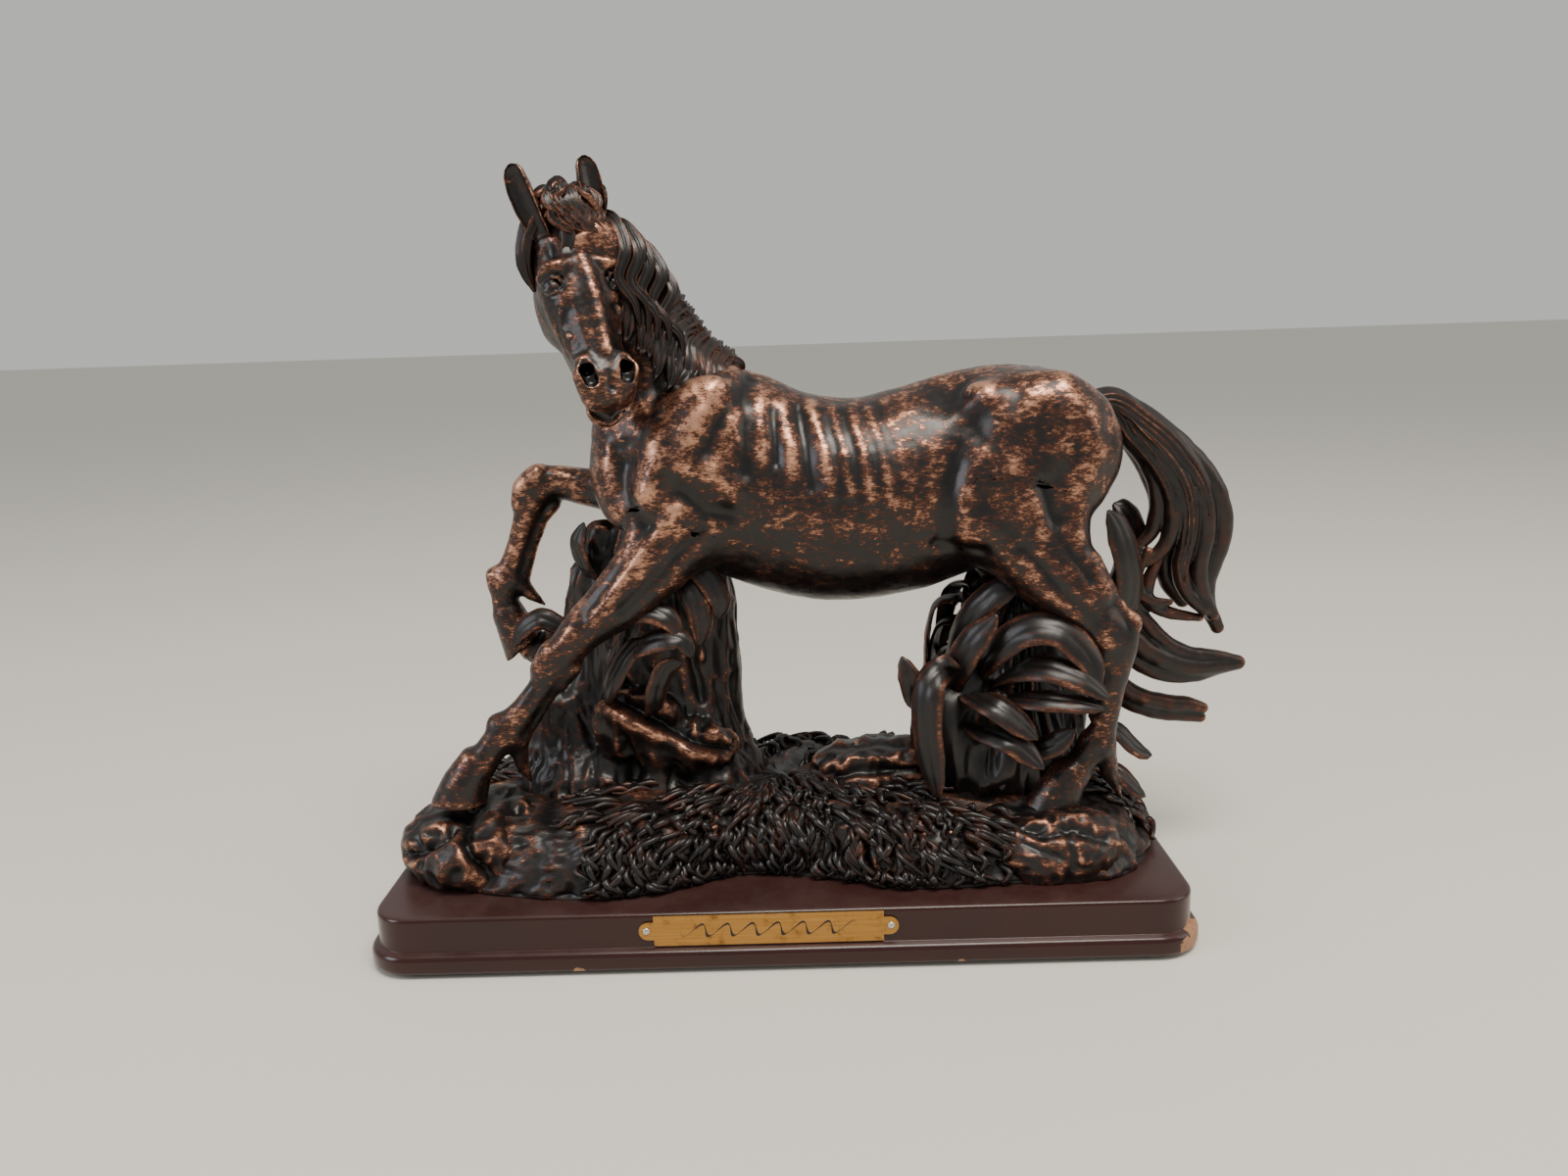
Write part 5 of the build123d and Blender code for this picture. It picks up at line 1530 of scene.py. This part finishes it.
# %% Lacquer, brass, steel and felt
def lacquer():
    """Oxblood lacquer: glossy sides, a dusty top, and a few places where it has chipped to pale wood."""
    material, tree, shader, where = blank_material("oxblood lacquer on wood")
    normal = add(tree, "ShaderNodeNewGeometry").outputs["Normal"]
    up = add(tree, "ShaderNodeSeparateXYZ", {"Vector": normal}).outputs["Z"]
    spots = texture(tree, where, 14, 5.0, 0.6)
    dust = maths(tree, "MULTIPLY", ramp(tree, up, 0.6, 0.98), ramp(tree, spots, 0.25, 0.75, 0.45, 1.0))
    base = mixed(tree, texture(tree, where, 30, 3.0), colour("#1c0504"), colour("#330c09"))
    base = mixed(tree, maths(tree, "MULTIPLY", dust, 0.4), base, colour("#54423f"))
    chip = 0.0
    jagged = texture(tree, where, 1.6, 4.0, 0.7)
    for x, y, z, size in ((123, -53, 5.5, 5.2), (119.5, -57.5, 3.0, 3.4),
                          (-60, -60, 1.2, 1.7), (52, -60, 1.2, 1.3),
                          (-123.5, -52, 2.5, 1.4), (124.5, 38, 2.2, 2.0)):
        reach = add(
            tree, "ShaderNodeVectorMath", {0: where, 1: (x * MM, y * MM, z * MM)}, operation="DISTANCE"
        )
        edge = maths(tree, "MULTIPLY_ADD", jagged, -4.0 * MM, reach.outputs["Value"])
        chip = maths(tree, "MAXIMUM", ramp(tree, edge, (size - 2.0) * MM, (size - 2.35) * MM), chip)
    base = mixed(tree, chip, base, mixed(tree, jagged, colour("#6b4630"), colour("#b58a66")))
    tree.links.new(base, shader.inputs["Base Color"])
    rough = maths(tree, "MULTIPLY_ADD", dust, 0.28, 0.2)
    tree.links.new(maths(tree, "MULTIPLY_ADD", chip, 0.4, rough), shader.inputs["Roughness"])
    feed(tree, shader, {"Coat Weight": 0.2, "Specular IOR Level": 0.35, "Coat Roughness": 0.16})
    height = maths(tree, "MULTIPLY_ADD", chip, -1.5, maths(tree, "MULTIPLY", spots, 0.25))
    feed(tree, shader, {"Normal": bumped(tree, height, 0.3, 0.0003)})
    return material


def brushed_brass():
    """Satin brass: brushing drawn along the plate, brown tarnish specks, and a dark scroll line."""
    material, tree, shader, where = blank_material("tarnished satin brass")
    brushing = texture(tree, where, 0.5, 3.0, 0.5, stretch=(0.03, 1, 1))
    stain = ramp(tree, texture(tree, where, 5, 6.0, 0.75), 0.52, 0.72)
    base = mixed(tree, brushing, colour("#94682f"), colour("#c4975a"))
    base = mixed(tree, maths(tree, "MULTIPLY", stain, 0.75), base, colour("#5c3d1c"))
    x, _, z = add(tree, "ShaderNodeSeparateXYZ", {"Vector": where}).outputs
    height = maths(tree, "SUBTRACT", z, PLATE_HEIGHT * MM)
    slanted = maths(tree, "MULTIPLY_ADD", height, -0.5, maths(tree, "ADD", x, 4.0 * MM))
    long = maths(tree, "MULTIPLY", slanted, 1000.0)
    fade = ramp(tree, maths(tree, "ABSOLUTE", long), 27.0, 20.0)
    wave = maths(tree, "MULTIPLY", maths(tree, "SINE", maths(tree, "MULTIPLY", long, 0.85)), 1.9 * MM)
    off = maths(tree, "ABSOLUTE", maths(tree, "SUBTRACT", height, wave))
    swell = maths(
        tree, "MULTIPLY_ADD", maths(tree, "SINE", maths(tree, "MULTIPLY", long, 1.7)), 0.16 * MM, 0.34 * MM
    )
    line = maths(tree, "MULTIPLY", maths(tree, "LESS_THAN", off, swell), fade)
    tree.links.new(mixed(tree, line, base, colour("#1a120b")), shader.inputs["Base Color"])
    tree.links.new(maths(tree, "MULTIPLY_ADD", line, -0.9, 1.0), shader.inputs["Metallic"])
    tree.links.new(maths(tree, "MULTIPLY_ADD", stain, 0.2, 0.36), shader.inputs["Roughness"])
    feed(tree, shader, {"Normal": bumped(tree, brushing, 0.2, 0.00005)})
    return material


def plain_metal(name, tint, rough):
    """Bare metal, a little uneven in its polish."""
    material, tree, shader, where = blank_material(name)
    feed(tree, shader, {"Base Color": colour(tint), "Metallic": 1.0})
    tree.links.new(
        ramp(tree, texture(tree, where, 1.5), 0.2, 0.8, rough - 0.06, rough + 0.1),
        shader.inputs["Roughness"]
    )
    return material


def felt():
    """Dark felt: matt fibres, with sheen at a grazing angle."""
    material, tree, shader, where = blank_material("dark felt")
    fibre = texture(tree, where, 0.6, 5.0, 0.7)
    tree.links.new(mixed(tree, fibre, colour("#0d1a12"), colour("#1f3326")), shader.inputs["Base Color"])
    feed(tree, shader, {"Roughness": 0.95, "Sheen Weight": 0.4})
    feed(tree, shader, {"Normal": bumped(tree, fibre, 0.6, 0.0002)})
    return material


finish_piece(plinth, lacquer(), stands_for=["plinth"])
steel = plain_metal("zinc-plated steel", "#b9bab8", 0.3)
nickel = plain_metal("nickelled pin", "#c2bfb6", 0.25)
finishes = {"nameplate": brushed_brass(), "nameplate_pins": nickel, "felt_underlay": felt()}
for name, node in nodes.items():
    kept = finishes.get(
        name, steel if name in ("fixing_screws", "screw_washers") or name.endswith("dowel") else skin_bronze
    )
    node.data.materials.clear()
    node.data.materials.append(kept)

# %% [markdown]
# ## Floor, light and camera
#
# The room is bright: white walls, a broad soft light from above and in front, and nothing hard. A satin
# surface shows what surrounds it, so the lights matter as much as the bronze does. One large panel above
# and in front gives the long lights on the back and the ribs, one on each side fills the flanks, and a pale
# sky stands for the walls.

# %% Studio
floor_material, tree, shader, where = blank_material("pale plain floor")
feed(tree, shader, {"Base Color": colour("#d9d5cd"), "Roughness": 0.75})
bpy.ops.mesh.primitive_plane_add(size=30, location=(0, 0, -0.0002))
floor = bpy.context.object
floor.name = "floor"
floor.data.materials.append(floor_material)

world = bpy.data.worlds.new("pale room")
bpy.context.scene.world = world
world.use_nodes = True
background = world.node_tree.nodes["Background"]
background.inputs["Color"].default_value = colour("#dcdcd8")
background.inputs["Strength"].default_value = 0.8


def panel(name, place, target, size, power, tint="#ffffff"):
    """A rectangular light of `size` metres at `place`, aimed at `target`."""
    light = bpy.data.lights.new(name, "AREA")
    light.shape = "RECTANGLE"
    light.size, light.size_y = size
    light.energy = power
    light.color = colour(tint)[:3]
    obj = bpy.data.objects.new(name, light)
    obj.location = place
    aim = np.asarray(target) - np.asarray(place)
    from_to = mathutils.Vector(aim).to_track_quat("-Z", "Y")
    obj.rotation_euler = from_to.to_euler()
    bpy.context.scene.collection.objects.link(obj)
    return obj


lamps = [
    panel("ceiling", (0.15, -0.45, 1.1), (0.0, 0.0, 0.12), (0.7, 0.35), 14.0, "#fff6ea"),
    panel("left wall", (-1.1, -0.5, 0.6), (0.0, 0.0, 0.12), (0.45, 0.6), 5.0, "#f4f6ff"),
    panel("right wall", (1.2, -0.2, 0.7), (0.0, 0.0, 0.12), (0.6, 0.8), 3.5, "#fff4e6"),
]

fwd_yaw, fwd_pitch, roll = math.radians(-0.77), math.radians(12.34), math.radians(-1.88)
forward = unit(
    [math.sin(fwd_yaw) * math.cos(fwd_pitch), math.cos(fwd_yaw) * math.cos(fwd_pitch), -math.sin(fwd_pitch)]
)
level = unit(np.cross(forward, [0, 0, 1]))
above = np.cross(level, forward)
right = level * math.cos(roll) + above * math.sin(roll)
upward = above * math.cos(roll) - level * math.sin(roll)
camera_data = bpy.data.cameras.new("camera")
camera_data.lens = 27.045
camera_data.sensor_width = 36.0
camera_data.clip_start = 0.01
camera_data.dof.use_dof = False
camera = bpy.data.objects.new("camera", camera_data)
matrix = np.eye(4)
matrix[:3, 0], matrix[:3, 1], matrix[:3, 2], matrix[:3, 3] = right, upward, -forward, (
    0.008, -0.3735, 0.1836
)
camera.matrix_world = mathutils.Matrix(matrix.tolist())
bpy.context.scene.collection.objects.link(camera)
bpy.context.scene.camera = camera
